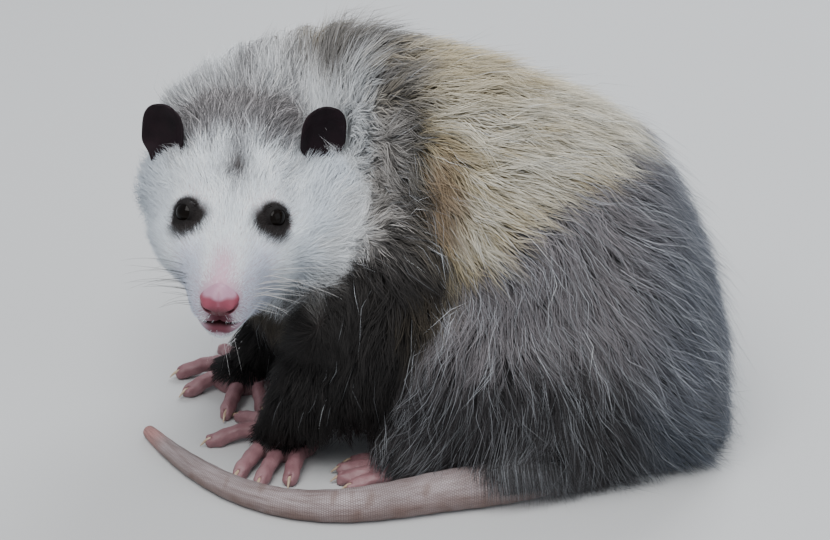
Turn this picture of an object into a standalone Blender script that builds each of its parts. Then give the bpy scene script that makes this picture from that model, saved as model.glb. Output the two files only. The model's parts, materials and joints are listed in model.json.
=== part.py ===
# Virginia opossum, life size, sitting hunched with its head turned to its left and its tail laid forward.
# The frame while modelling: Z up from the floor, the body along X with the head at low X,
# its left side towards low Y. The finished nodes are moved so that the origin is the base centre.
import math

import bmesh
import bpy
import numpy as np
from mathutils import Matrix, Vector
from mathutils.bvhtree import BVHTree

MM = 0.001
GAP = 0.3 * MM

BODY_VOXEL = 3.2 * MM
BODY_FACES = 1160
HEAD_FACES = 1400
FOOT_VOXEL = 1.1 * MM
FORE_FOOT_FACES = 320
HIND_FOOT_FACES = 300

# Outer form of the coat on the torso, from rump to throat:
# x, middle y, half width, height of the widest place, top, bottom.
TORSO = (
    (161, 22, 24, 40, 56, 8),
    (154, 22, 46, 43, 82, -6),
    (143, 22, 66, 46, 112, -8),
    (125, 21, 79, 50, 148, -8),
    (98, 20, 85, 55, 174, -8),
    (66, 19, 85, 62, 191, -8),
    (34, 19, 79, 74, 204, 0),
    (8, 26, 67, 86, 210, 12),
    (-22, 44, 48, 98, 213, 24),
    (-48, 60, 34, 108, 209, 40),
    (-76, 63, 32, 118, 203, 58),
    (-99, 62, 29, 126, 194, 76),
    (-117, 60, 24, 132, 181, 94),
    (-126, 58, 13, 136, 163, 112),
)

# Each thigh: centre, radii, and how far its top leans back, in degrees.
THIGH_CENTRE = (58, -30, 54)
THIGH_RADII = (80, 43, 62)
THIGH_LEAN = 14
BODY_MIDDLE = 21

# Each foreleg's centre line with its coat: x, y, z, radius.
LEFT_FORELEG = (
    (4, -12, 110, 37),
    (-10, -22, 80, 36),
    (-31, -27, 54, 30),
    (-46, -24, 36, 25),
    (-58, -18, 22, 18.5),
    (-65, -13, 12, 12.5),
)
RIGHT_FORELEG = (
    (-34, 74, 112, 34),
    (-40, 76, 80, 31),
    (-56, 71, 54, 26),
    (-70, 64, 35, 21),
    (-81, 58, 21, 16.5),
    (-88, 55, 12, 12.5),
)

# Soft masses of coat: centre and radii.
CHEEK_RUFF = ((-44, 3, 114), (26, 36, 37))
THROAT = ((-52, 28, 76), (35, 36, 42))
LEFT_LAP = ((17, -38, 24), (40, 27, 30))
RIGHT_LAP = ((21, 80, 24), (40, 27, 30))
SOFT_MASSES = {"cheek_ruff": CHEEK_RUFF, "throat": THROAT, "left_lap": LEFT_LAP, "right_lap": RIGHT_LAP}

# Locks of the long coat, rooted in a core that lies under its outer form.
COAT_DEPTH = 7.0
LOCK_LENGTH = 58
LOCK_WIDTH = 18
LOCK_THICKNESS = 3.4
LOCK_TAPER = (0.62, 1.0, 0.78, 0.10)
LOCK_SPACING = 26.5
LOCK_SPLAY = 13
LOCK_LOWEST = 22
LOCK_TRIES = 6000
LOCK_SEED = 11
SKIRT_HANG = 0.75
FACE_CENTRE = (-84, -30, 128)

# The head's own frame: its nose tip, and how it is turned, in degrees.
NOSE_TIP = (-91.4, -78, 120)
HEAD_YAW = 1.8
HEAD_PITCH = 7
HEAD_ROLL = 3

# Outer form of the head: distance behind the nose tip, half width, top, bottom, height of the widest place.
HEAD = (
    (1.5, 8.5, 4.5, -22, -8),
    (5, 11.8, 7, -25.5, -9),
    (12, 15, 9, -28, -9.5),
    (24, 19.5, 11, -31.5, -9.5),
    (36, 24.5, 13.2, -34.5, -10),
    (47, 29.5, 15.8, -37, -10),
    (56, 34, 19.5, -39, -9.5),
    (65, 39.5, 25.5, -40, -8),
    (75, 45, 32, -41, -7),
    (86, 49.5, 37, -41, -6),
    (99, 51, 41, -40, -4),
    (113, 47, 43, -35, 0),
    (127, 38, 40, -24, 6),
    (138, 22, 31, -6, 11),
)
# Fluffed cheeks beside the muzzle, in the same terms: centre, with its side for the left one, and radii.
CHEEK_PAD = ((60, 20, -17), (36, 22, 24))
HEAD_CUT = 104
HEAD_ROOM = ((-72, -HEAD_CUT, -47), (56, 200, 80))
HEAD_ROOM_SPREAD = 65
HEAD_ROOM_TUCK = 36

EYE_RADIUS = 6.6
EYE_BACK = 57.5
EYE_SIDE = 19.9
EYE_UP = 10.2
EYE_LOOK = (0.66, 0.62, 0.42)
LID_RING = 5.9
LID_THICKNESS = 1.5

NOSE_WIDTH = 10.4
NOSE_HEIGHT = 6.8
NOSE_DEPTH = 6.5
NOSTRIL_SIDE = 5.2
NOSTRIL_RADIUS = 1.7
MOUTH_UP = -15.2
MOUTH_BACK = 30
MOUTH_OPEN = 1.7

EAR_LENGTH = 24
EAR_WIDTH = 24
EAR_FULLNESS = 2.5
EAR_THICKNESS = 1.5
EAR_CUP = 5.5
EAR_ROWS = (-0.32, 0.0, 0.27, 0.52, 0.74, 0.89, 0.97, 1.0)
# Where each ear stands in the head's own frame, its root and a point that it aims at.
EAR_STANCE = {1: ((96, 41.6, 24.5), (99.5, 42.5, 48)), -1: ((94.5, -38, 21.5), (98, -37, 45))}

# Tail: x, y, radius. Its height is its radius, because it lies on the floor.
TAIL = (
    (118, 2, 12.6),
    (104, -22, 12.3),
    (84, -41, 12.0),
    (60, -55, 11.5),
    (37, -63, 10.9),
    (12, -69, 10.2),
    (-12, -75.5, 9.2),
    (-36.5, -79, 8.3),
    (-61, -75.6, 7.3),
    (-86.4, -63, 6.6),
    (-107.7, -43.5, 5.9),
    (-124.7, -21.8, 4.7),
    (-137, -2.3, 3.5),
)
TAIL_LENGTHS = ("tail_root", "tail_base", "tail_middle", "tail_fore", "tail_end")
TAIL_SPLITS = (0.0, 0.27, 0.46, 0.65, 0.83, 1.0)
TAIL_SIDES = 12

# Feet: palm centre and half sizes, then each toe's root and tip on the floor plan, and its radius.
LEFT_PALM = (-66, -14, 17, 15, 10)
LEFT_TOES = (
    ((-77, 3), (-92, 14), 3.2),
    ((-80, -3), (-105, -11), 3.5),
    ((-77, -20), (-89, -44), 3.5),
    ((-69, -27), (-77.5, -51), 3.5),
    ((-59, -28), (-62.5, -49), 3.6),
)
RIGHT_PALM = (-92, 54, 17, 15, 10)
RIGHT_TOES = (
    ((-96, 68), (-106, 88), 3.2),
    ((-106, 66), (-127, 60), 3.4),
    ((-104, 52), (-121, 40), 3.5),
    ((-94, 40), (-99, 16), 3.5),
    ((-83, 40), (-80, 19), 3.4),
)
# The hind feet, drawn for the left: sole from heel to toes, and the toes with the thumb-like first one.
SOLE_HEEL = (34, -42)
SOLE_FRONT = (-10, -43)
SOLE_WIDTH = 11.5
SOLE_HEIGHT = 17
HIND_TOES = (
    ((-2, -34), (-13, -19), 3.8),
    ((-13, -35), (-32, -31), 3.3),
    ((-16, -40), (-37, -38.5), 3.4),
    ((-16, -46), (-37, -47), 3.4),
    ((-13, -51), (-32, -55), 3.3),
)
RIGHT_HIND_SHIFT = 4
CLAW_RADIUS = 1.15


def vec(*values):
    return Vector(values) * MM


def clear_scene():
    for old in list(bpy.data.objects):
        bpy.data.objects.remove(old)


def collection_named(name):
    made = bpy.data.collections.new(name)
    bpy.context.scene.collection.children.link(made)
    return made


def material(name, colour, roughness):
    made = bpy.data.materials.new(name)
    made.use_nodes = True
    shader = made.node_tree.nodes["Principled BSDF"]
    shader.inputs["Base Color"].default_value = (*colour, 1.0)
    shader.inputs["Roughness"].default_value = roughness
    shader.inputs["Metallic"].default_value = 0.0
    made.diffuse_color = (*colour, 1.0)
    return made


def mesh_object(name, points, faces):
    mesh = bpy.data.meshes.new(name)
    mesh.from_pydata([tuple(p) for p in points], [], [tuple(f) for f in faces])
    return link(name, mesh)


def link(name, mesh):
    made = bpy.data.objects.new(name, mesh)
    workshop.objects.link(made)
    return made


def drop(*objects):
    for done in objects:
        bpy.data.objects.remove(done)


def copy_of(source, name):
    return link(name, source.data.copy())


def baked(source, *modifiers):
    """Adds modifiers, each a type with its settings, and puts their result in the mesh."""
    for kind, settings in modifiers:
        modifier = source.modifiers.new(kind.lower(), kind)
        for key, value in settings.items():
            setattr(modifier, key, value)
    bpy.context.view_layer.update()
    graph = bpy.context.evaluated_depsgraph_get()
    mesh = bpy.data.meshes.new_from_object(source.evaluated_get(graph))
    source.modifiers.clear()
    source.data = mesh
    return source


def outward(source):
    work = bmesh.new()
    work.from_mesh(source.data)
    bmesh.ops.recalc_face_normals(work, faces=work.faces)
    work.to_mesh(source.data)
    work.free()
    return source


def join(name, pieces):
    """One object that holds the meshes of several, still as separate shells."""
    work = bmesh.new()
    for piece in pieces:
        work.from_mesh(piece.data)
    mesh = bpy.data.meshes.new(name)
    work.to_mesh(mesh)
    work.free()
    drop(*pieces)
    return link(name, mesh)


def boolean(target, operation, *cutters, solver="EXACT"):
    """Cuts or joins in one step, then keeps only the largest closed surface."""
    held = bpy.data.collections.new("held")
    for cutter in cutters:
        held.objects.link(cutter)
    settings = {"operation": operation, "solver": solver, "operand_type": "COLLECTION", "collection": held}
    baked(target, ("BOOLEAN", settings))
    bpy.data.collections.remove(held)
    drop(*cutters)
    return largest_part(target)


def largest_part(source):
    work = bmesh.new()
    work.from_mesh(source.data)
    left = set(work.faces)
    parts = []
    while left:
        front = [left.pop()]
        part = list(front)
        while front:
            face = front.pop()
            for edge in face.edges:
                for other in edge.link_faces:
                    if other in left:
                        left.remove(other)
                        front.append(other)
                        part.append(other)
        parts.append(part)
    parts.sort(key=lambda part: -sum(face.calc_area() for face in part))
    scraps = [face for part in parts[1:] for face in part]
    bmesh.ops.delete(work, geom=scraps, context="FACES")
    loose = [vertex for vertex in work.verts if not vertex.link_faces]
    bmesh.ops.delete(work, geom=loose, context="VERTS")
    work.to_mesh(source.data)
    work.free()
    return source


def loft(name, rings):
    """A closed skin over rings that all have the same number of points."""
    count = len(rings[0])
    points = [point for ring in rings for point in ring]
    faces = []
    for row in range(len(rings) - 1):
        for side in range(count):
            after = (side + 1) % count
            low, high = row * count, (row + 1) * count
            faces.append((low + side, low + after, high + after, high + side))
    faces.append(tuple(reversed(range(count))))
    last = (len(rings) - 1) * count
    faces.append(tuple(last + side for side in range(count)))
    return outward(mesh_object(name, points, faces))


def ellipsoid(name, centre, radii, turn=None, segments=32):
    work = bmesh.new()
    bmesh.ops.create_uvsphere(work, u_segments=segments, v_segments=segments // 2, radius=1)
    place = Matrix.Translation(centre) @ (turn or Matrix()) @ Matrix.Diagonal((*radii, 1))
    bmesh.ops.transform(work, matrix=place, verts=work.verts)
    mesh = bpy.data.meshes.new(name)
    work.to_mesh(mesh)
    work.free()
    return link(name, mesh)


def box(name, low, high, turn=None):
    work = bmesh.new()
    bmesh.ops.create_cube(work, size=1)
    low, high = Vector(low), Vector(high)
    size = high - low
    place = (turn or Matrix()) @ Matrix.Translation((low + high) / 2) @ Matrix.Diagonal((*size, 1))
    bmesh.ops.transform(work, matrix=place, verts=work.verts)
    mesh = bpy.data.meshes.new(name)
    work.to_mesh(mesh)
    work.free()
    return link(name, mesh)


def smooth_rows(rows, count):
    """Rows of numbers read as one smooth curve, resampled at even steps along it."""
    rows = np.array(rows, float)
    steps = np.linalg.norm(np.diff(rows[:, :2], axis=0), axis=1)
    place = np.concatenate([[0], np.cumsum(steps)])
    slopes = np.gradient(rows, place, axis=0)
    made = []
    for at in np.linspace(0, place[-1], count):
        i = min(int(np.searchsorted(place, at, side="right")) - 1, len(rows) - 2)
        span = place[i + 1] - place[i]
        t = (at - place[i]) / span
        made.append(
            (2 * t**3 - 3 * t**2 + 1) * rows[i]
            + (t**3 - 2 * t**2 + t) * span * slopes[i]
            + (3 * t**2 - 2 * t**3) * rows[i + 1]
            + (t**3 - t**2) * span * slopes[i + 1]
        )
    return np.array(made)


def half_turns(count):
    return [2 * math.pi * side / count for side in range(count)]


ROUND_END = (80, 55, 28)
SHORT_END = (50,)


def tube(name, rows, sides=16, rings=14, ends=ROUND_END):
    """A round limb along x, y, z, radius rows, with round ends."""
    line = smooth_rows(rows, rings)
    points = [Vector(row[:3]) for row in line]
    made = []
    across = None
    for i, row in enumerate(line):
        along = (points[min(i + 1, rings - 1)] - points[max(i - 1, 0)]).normalized()
        if across is None:
            across = along.orthogonal().normalized()
        across = (across - along * across.dot(along)).normalized()
        other = along.cross(across)
        for shift, scale in end_steps(i, rings, ends):
            centre = points[i] + along * row[3] * shift
            ring = []
            for angle in half_turns(sides):
                reach = across * math.cos(angle) + other * math.sin(angle)
                ring.append((centre + reach * row[3] * scale) * MM)
            made.append(ring)
    return loft(name, made)


def end_steps(i, rings, ends):
    """How far out, and how wide, the rings of a round end are, in radii."""
    bends = [math.radians(angle) for angle in ends]
    if i == 0:
        return [(-math.sin(bend), math.cos(bend)) for bend in bends] + [(0, 1)]
    if i == rings - 1:
        return [(0, 1)] + [(math.sin(bend), math.cos(bend)) for bend in reversed(bends)]
    return [(0, 1)]


def section_ring(centre, side, up, half_width, rise, fall, count):
    """An oval with its own height above and below its widest place."""
    ring = []
    for angle in half_turns(count):
        lift = math.sin(angle)
        height = rise if lift > 0 else fall
        ring.append(centre + side * half_width * math.cos(angle) + up * height * lift)
    return ring


def torso_form():
    rings = []
    for x, middle, half_width, wide, top, bottom in smooth_rows(TORSO, 34):
        centre = vec(x, middle, wide)
        rise, fall = (top - wide) * MM, (wide - bottom) * MM
        across, up = Vector((0, 1, 0)), Vector((0, 0, 1))
        rings.append(section_ring(centre, across, up, half_width * MM, rise, fall, 36))
    return loft("torso_form", rings)


def thigh_form(side):
    x, y, z = THIGH_CENTRE
    if side == "right":
        y = 2 * BODY_MIDDLE - y
    turn = Matrix.Rotation(math.radians(THIGH_LEAN), 4, "Y")
    return ellipsoid("thigh_form", vec(x, y, z), vec(*THIGH_RADII), turn)


class HeadFrame:
    """Places points given as distance behind the nose tip, to the animal's left, and up."""

    def __init__(self):
        yaw, pitch = math.radians(HEAD_YAW), math.radians(HEAD_PITCH)
        self.nose = vec(*NOSE_TIP)
        level = Vector((-math.sin(yaw), -math.cos(yaw), 0))
        self.ahead = level * math.cos(pitch) - Vector((0, 0, math.sin(pitch)))
        level_left = Vector((0, 0, 1)).cross(self.ahead).normalized()
        level_up = self.ahead.cross(level_left)
        roll = Matrix.Rotation(math.radians(-HEAD_ROLL), 3, self.ahead)
        self.left = roll @ level_left
        self.up = roll @ level_up

    def at(self, back, left, up):
        return self.nose + (self.left * left + self.up * up - self.ahead * back) * MM

    def way(self, ahead, left, up):
        return (self.ahead * ahead + self.left * left + self.up * up).normalized()

    def matrix(self, back=0, left=0, up=0):
        turn = Matrix((self.left, -self.ahead, self.up)).transposed().to_4x4()
        return Matrix.Translation(self.at(back, left, up)) @ turn


def head_form(frame):
    rings = []
    for back, half_width, top, bottom, wide in smooth_rows(HEAD, 40):
        rise, fall = (top - wide) * MM, (wide - bottom) * MM
        centre = frame.at(back, 0, wide)
        rings.append(section_ring(centre, frame.left, frame.up, half_width * MM, rise, fall, 40))
    return loft("head_form", rings)


def whole_animal(frame):
    """Every furred form blended into one skin, before it is parted."""
    forms = [torso_form(), thigh_form("left"), thigh_form("right"), head_form(frame)]
    forms.append(tube("left_foreleg_form", LEFT_FORELEG))
    forms.append(tube("right_foreleg_form", RIGHT_FORELEG))
    for name, (centre, radii) in SOFT_MASSES.items():
        forms.append(ellipsoid(name, vec(*centre), vec(*radii)))
    (back, out, up), radii = CHEEK_PAD
    turn = frame.matrix().to_3x3().to_4x4()
    for side in (-1, 1):
        centre = frame.at(back, side * out, up)
        forms.append(ellipsoid("cheek_pad", centre, vec(radii[1], radii[0], radii[2]), turn))
    whole = join("whole", forms)
    baked(
        whole,
        ("REMESH", {"mode": "VOXEL", "voxel_size": BODY_VOXEL}),
        ("SMOOTH", {"factor": 0.5, "iterations": 5}),
    )
    return whole


def ease(value, low, high):
    """0 below low, 1 above high, and smooth between."""
    t = min(1.0, max(0.0, (value - low) / (high - low)))
    return t * t * (3 - 2 * t)


def coat_depth(place):
    """How deep the locks lie over the core here, in millimetres: long on the body, short at the wrists."""
    x, y, z = place
    depth = COAT_DEPTH * (0.45 + 0.55 * ease(z, 6, 45))
    return depth * (1 - 0.45 * ease(-x, 45, 70) * (1 - ease(z, 60, 90)))


def sunken(source):
    """Draws the coat's outer form in to the core that the locks are rooted in."""
    work = bmesh.new()
    work.from_mesh(source.data)
    work.normal_update()
    moved = [vertex.co - vertex.normal * coat_depth(vertex.co / MM) * MM for vertex in work.verts]
    for vertex, place in zip(work.verts, moved):
        vertex.co = place
    work.to_mesh(source.data)
    work.free()
    return baked(source, ("SMOOTH", {"factor": 0.5, "iterations": 2}))


def lie_of_coat(place):
    """The way the hair points here: away from the face, back along the body, and down on the limbs."""
    x, y, z = place
    from_face = (place - Vector(FACE_CENTRE)).normalized()
    spine_drop = -0.30 - 1.3 * ease(x, 20, 150)
    side = ease(abs(y - BODY_MIDDLE), 15, 75) * (1 - 0.45 * ease(z, 110, 190))
    along = Vector((1 - 0.75 * ease(x, 90, 160), 0, spine_drop - 1.35 * side)).normalized()
    limb = ease(-x, -10, 25) * (1 - ease(z, 70, 105))
    down = Vector((-0.35, 0.05, -1)).normalized()
    near_face = ease(-x, 5, 55) * ease(z, 80, 120)
    way = along.lerp(down, limb).lerp(from_face, near_face)
    thigh_front = ease(-x, -70, -10) * (1 - ease(z, 70, 130)) * (1 - limb)
    return way.lerp(Vector((-0.5, 0, -1)), 0.8 * thigh_front).normalized()


def one_lock(tree, place, normal, dice, length, width):
    """A flat, tapered lock that is rooted in the core, follows its surface and lifts off at the tip."""
    way = lie_of_coat(place / MM)
    way = Matrix.Rotation(math.radians(dice.normal(0, LOCK_SPLAY)), 3, normal) @ way
    way = (way - normal * way.dot(normal)).normalized()
    depth = coat_depth(place / MM)
    tip_height = depth * dice.uniform(1.05, 1.75)
    heights = (-3.5, depth * 0.45, depth * 0.85, tip_height)
    spine = []
    here, ahead = place, way
    step = length / (len(heights) - 1) * MM
    hang = SKIRT_HANG * (1 - ease(place.z / MM, 45, 95)) * ease(place.x / MM, -30, 5)
    fall = way.lerp(Vector((0, 0, -1)), 0.5 * hang).normalized()
    for i, height in enumerate(heights):
        found, out, _, _ = tree.find_nearest(here)
        hugging = found + out * height * MM
        straight = place + fall * step * i + normal * height * MM
        spine.append((hugging.lerp(straight, hang), out.lerp(normal, hang).normalized()))
        ahead = (ahead + Vector((0, 0, -0.10))).normalized()
        ahead = (ahead - out * ahead.dot(out) * 0.85).normalized()
        here = found + ahead * step
    rings = []
    for i, (centre, out) in enumerate(spine):
        before, after = spine[max(i - 1, 0)][0], spine[min(i + 1, len(spine) - 1)][0]
        along = (after - before).normalized()
        side = along.cross(out).normalized()
        up = side.cross(along)
        half_width = width / 2 * LOCK_TAPER[i] * MM
        half_depth = LOCK_THICKNESS / 2 * LOCK_TAPER[i] ** 0.5 * MM
        across, through = side * half_width, up * half_depth
        rings.append([centre + across, centre + through, centre - across, centre - through])
    return loft("lock", rings)


def lock_places(core, dice):
    """Root places spread evenly over the coat, kept clear of the face and the hidden underside."""
    work = bmesh.new()
    work.from_mesh(core.data)
    bmesh.ops.triangulate(work, faces=work.faces)
    work.normal_update()
    faces = list(work.faces)
    areas = np.array([face.calc_area() for face in faces])
    picked = dice.choice(len(faces), size=LOCK_TRIES, p=areas / areas.sum())
    kept = []
    for index in picked:
        face = faces[index]
        a, b = sorted(dice.uniform(0, 1, 2))
        corners = [vertex.co for vertex in face.verts]
        place = corners[0] * a + corners[1] * (b - a) + corners[2] * (1 - b)
        x, y, z = place / MM
        if face.normal.z < -0.25 or z < LOCK_LOWEST:
            continue
        if all((place - other).length > LOCK_SPACING * MM * spread_of(place / MM) for other, _ in kept):
            kept.append((place, face.normal.copy()))
    work.free()
    return kept


def spread_of(place):
    """Locks lie closer on the legs and neck than on the back."""
    x, y, z = place
    return 1.0 - 0.28 * ease(-x, 0, 50) - 0.1 * (1 - ease(z, 30, 80))


def add_locks(core, frame):
    """Roots the locks in the core and fuses them to it in one step."""
    dice = np.random.default_rng(LOCK_SEED)
    work = bmesh.new()
    work.from_mesh(core.data)
    tree = BVHTree.FromBMesh(work)
    locks = []
    for place, normal in lock_places(core, dice):
        if in_head_room(frame, place):
            continue
        size = spread_of(place / MM)
        length = LOCK_LENGTH * size * dice.uniform(0.85, 1.2)
        width = LOCK_WIDTH * size * dice.uniform(0.85, 1.15)
        locks.append(one_lock(tree, place, normal, dice, length, width))
    work.free()
    return boolean(core, "UNION", *locks, solver="MANIFOLD")


def in_head_room(frame, place):
    """Whether a root would lie where the head's own node is."""
    offset = (place - frame.nose) / MM
    low, high = HEAD_ROOM
    back, left, up = -offset.dot(frame.ahead), offset.dot(frame.left), offset.dot(frame.up)
    return back < -low[1] + 9 and low[0] < left < high[0] + 16 and low[2] < up < high[2]


def thinned(source, faces):
    now = sum(len(face.vertices) - 2 for face in source.data.polygons)
    return baked(source, ("DECIMATE", {"ratio": min(1.0, faces / now)}))


def facing_matrix(point, normal):
    """A matrix whose Z axis is the normal at the point."""
    return Matrix.Translation(point) @ Vector(normal).to_track_quat("Z", "Y").to_matrix().to_4x4()


REACH = 400


def above_floor(source):
    below = box("below", vec(-REACH, -REACH, -REACH), vec(REACH, REACH, 0))
    return boolean(source, "DIFFERENCE", below, solver="MANIFOLD")


def prism(name, outline, low_y, high_y, grow=0.0):
    """A room with straight sides: an outline in x and z, swept along y, moved out by grow."""
    count = len(outline)
    corners = [Vector(corner) for corner in outline]
    moved = []
    for i, corner in enumerate(corners):
        before = (corner - corners[i - 1]).normalized()
        after = (corners[(i + 1) % count] - corner).normalized()
        normal_before, normal_after = Vector((before.y, -before.x)), Vector((after.y, -after.x))
        bisector = (normal_before + normal_after).normalized()
        moved.append(corner + bisector * grow / max(0.3, bisector.dot(normal_after)))
    rings = []
    for y in (low_y - grow, high_y + grow):
        rings.append([vec(corner.x, y, corner.y) for corner in moved])
    return loft(name, rings)


# Where the furred body is parted. Each room is an outline in x and z, anticlockwise, and its two ends in y.
# The head's room is a box in the head's frame, and each foreleg's a box along its forearm.
THIGH_OUTLINE = ((-25, -20), (128, -20), (128, 104), (112, 128), (56, 128), (-6, 62), (-25, 34))
NECK_OUTLINE = ((-300, 90), (-47, 90), (-47, 300), (-300, 300))
REAR_OUTLINE = ((48, -20), (300, -20), (300, 300), (48, 300))
ROOMS = {
    "thigh_left": (THIGH_OUTLINE, -300, -16),
    "thigh_right": (THIGH_OUTLINE, 58, 300),
    "neck": (NECK_OUTLINE, -300, 300),
    "rump": (REAR_OUTLINE, -300, 300),
}
FOREARM_CUT = 0.5
FOREARM_BACK = 31
FOREARM_SIDE = 27


def head_room(frame, grow=0.0):
    low, high = (Vector(corner) for corner in HEAD_ROOM)
    grown = Vector((grow, grow, grow))
    turn = Matrix((frame.left, frame.ahead, frame.up)).transposed().to_4x4()
    low, high = low - grown, high + grown
    corners = []
    for y in (low.y, high.y):
        left = high.x + (HEAD_ROOM_SPREAD if y > 0 else 0)
        ring = [(low.x, y, low.z), (left - HEAD_ROOM_TUCK, y, low.z), (left, y, high.z), (low.x, y, high.z)]
        corners.append([frame.nose + turn @ (Vector(corner) * MM) for corner in ring])
    return loft("head_room", corners)


def forearm_room(path, side, grow=0.0):
    """A box that holds the forearm and wrist, with a flat end across the elbow."""
    start = Vector(path[1][:3]).lerp(Vector(path[2][:3]), FOREARM_CUT)
    along = (Vector(path[-1][:3]) - start).normalized()
    inward = Vector((0, side, 0))
    inward = (inward - along * inward.dot(along)).normalized()
    other = along.cross(inward)
    rings = []
    for step in (-grow, 160):
        ring = []
        corners = ((-120, -80), (FOREARM_SIDE, -80), (FOREARM_SIDE, FOREARM_BACK), (-120, FOREARM_BACK))
        for across, lift in corners:
            across += grow if across > 0 else -grow
            lift += grow if lift > 0 else -grow
            ring.append((start + along * step + inward * across + other * lift * side) * MM)
        rings.append(ring)
    return loft("forearm_room", rings)


def rooms_of(frame):
    """Each part's room in the order of parting, as a function of how much it is grown."""
    made = {
        "foreleg_left": lambda grow: forearm_room(LEFT_FORELEG, 1, grow),
        "foreleg_right": lambda grow: forearm_room(RIGHT_FORELEG, -1, grow),
    }
    for name, (outline, low, high) in ROOMS.items():
        made[name] = lambda grow, o=outline, a=low, b=high: prism("room", o, a, b, grow)
    return made


def part_body(body, frame):
    """Parts the furred body with thin cuts into forelegs, thighs, neck, rump and chest."""
    gap = GAP / MM
    ear_rooms = [ear_sheet(frame, "ear_room", side, EAR_THICKNESS, extra=gap) for side in (-1, 1)]
    body = boolean(body, "DIFFERENCE", head_room(frame, gap), *ear_rooms, solver="MANIFOLD")
    parts = {}
    for name, room in rooms_of(frame).items():
        parts[name] = boolean(copy_of(body, name), "INTERSECT", room(0), solver="MANIFOLD")
        body = boolean(body, "DIFFERENCE", room(gap), solver="MANIFOLD")
    body.name = "chest"
    parts["chest"] = body
    return parts


def eye_centre(frame, side):
    return frame.at(EYE_BACK, side * EYE_SIDE, EYE_UP)


def eye_way(frame, side):
    ahead, out, up = EYE_LOOK
    return frame.way(ahead, side * out, up)


def torus(name, place, major, minor):
    work = bmesh.new()
    rings = []
    for angle in half_turns(16):
        out = Vector((math.cos(angle), math.sin(angle), 0))
        ring = []
        for turn in half_turns(6):
            place_at = out * (major + minor * math.cos(turn)) + Vector((0, 0, minor * math.sin(turn)))
            ring.append(work.verts.new(place_at))
        rings.append(ring)
    for i, ring in enumerate(rings):
        after = rings[(i + 1) % len(rings)]
        for j in range(6):
            k = (j + 1) % 6
            work.faces.new((ring[j], after[j], after[k], ring[k]))
    bmesh.ops.transform(work, matrix=place, verts=work.verts)
    bmesh.ops.recalc_face_normals(work, faces=work.faces)
    mesh = bpy.data.meshes.new(name)
    work.to_mesh(mesh)
    work.free()
    return link(name, mesh)


def make_eye(frame, name, side):
    return ellipsoid(name, eye_centre(frame, side), vec(EYE_RADIUS, EYE_RADIUS, EYE_RADIUS), segments=12)


def make_nose(frame, name, grow=0.0):
    """The bare nose pad, a rounded block across the muzzle's end."""
    centre = frame.at(2.2, 0, -0.4)
    radii = vec(NOSE_WIDTH + grow, NOSE_DEPTH + grow, NOSE_HEIGHT + grow)
    turn = frame.matrix().to_3x3().to_4x4()
    pad = ellipsoid(name, centre, radii, turn, segments=16)
    return pad


def nostrils(frame):
    made = []
    for side in (-1, 1):
        start = frame.at(-3.6, side * (NOSTRIL_SIDE - 0.6), -1.6) / MM
        end = frame.at(-0.4, side * (NOSTRIL_SIDE + 2.4), -1.2) / MM
        middle = (start + end) / 2
        rows = [(*start, NOSTRIL_RADIUS), (*middle, NOSTRIL_RADIUS), (*end, NOSTRIL_RADIUS * 0.8)]
        made.append(tube("nostril", rows, sides=8, rings=3, ends=SHORT_END))
    return made


def mouth_gap(frame):
    """The parted lips: a thin wedge from the front of the muzzle back along both sides."""
    corners = []
    for distance, reach, half_open, up in (
        (-6, 16, MOUTH_OPEN, MOUTH_UP),
        (7, 20, MOUTH_OPEN * 0.6, MOUTH_UP + 0.3),
        (18, 27, 0.6, MOUTH_UP + 0.2),
        (MOUTH_BACK, 32, 0.35, MOUTH_UP + 1.4),
    ):
        ring = []
        for out, rise in ((-1, -1), (1, -1), (1, 1), (-1, 1)):
            ring.append(frame.at(distance, out * reach, up + rise * half_open))
        corners.append(ring)
    return loft("mouth_gap", corners)


def ear_sheet(frame, name, side, thickness, extra=0.0):
    """A cupped oval leaf from the head's side, thickened both ways."""
    root, tip = (frame.at(*place) for place in EAR_STANCE[side])
    along = (tip - root).normalized()
    forward = frame.way(0.86, side * 0.42, 0.1)
    across = along.cross(forward).normalized() * side
    normal = across.cross(along) * side
    rows, columns = len(EAR_ROWS), 7
    points, faces = [], []
    for i, s in enumerate(EAR_ROWS):
        from_middle = abs((max(s, -0.05) - 0.38) / 0.64)
        half = EAR_WIDTH / 2 * (1 - from_middle**EAR_FULLNESS) ** (1 / EAR_FULLNESS)
        for j in range(columns):
            t = -1 + 2 * j / (columns - 1)
            depth = -EAR_CUP * (1 - t * t) * math.cos((s - 0.35) * 1.4)
            curl = 1 + 0.12 * t * t
            up = EAR_LENGTH * s / curl
            up += extra * (s - 0.34) / 0.66
            place = root + (along * up + across * (half + extra) * t + normal * depth) * MM
            points.append(place)
    for i in range(rows - 1):
        for j in range(columns - 1):
            low, high = i * columns + j, (i + 1) * columns + j
            faces.append((low, low + 1, high + 1, high))
    sheet = mesh_object(name, points, faces)
    total = (thickness + 3.4 * extra) * MM
    baked(sheet, ("SOLIDIFY", {"thickness": total, "offset": 0.0, "use_even_offset": False}))
    return outward(sheet)


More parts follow.
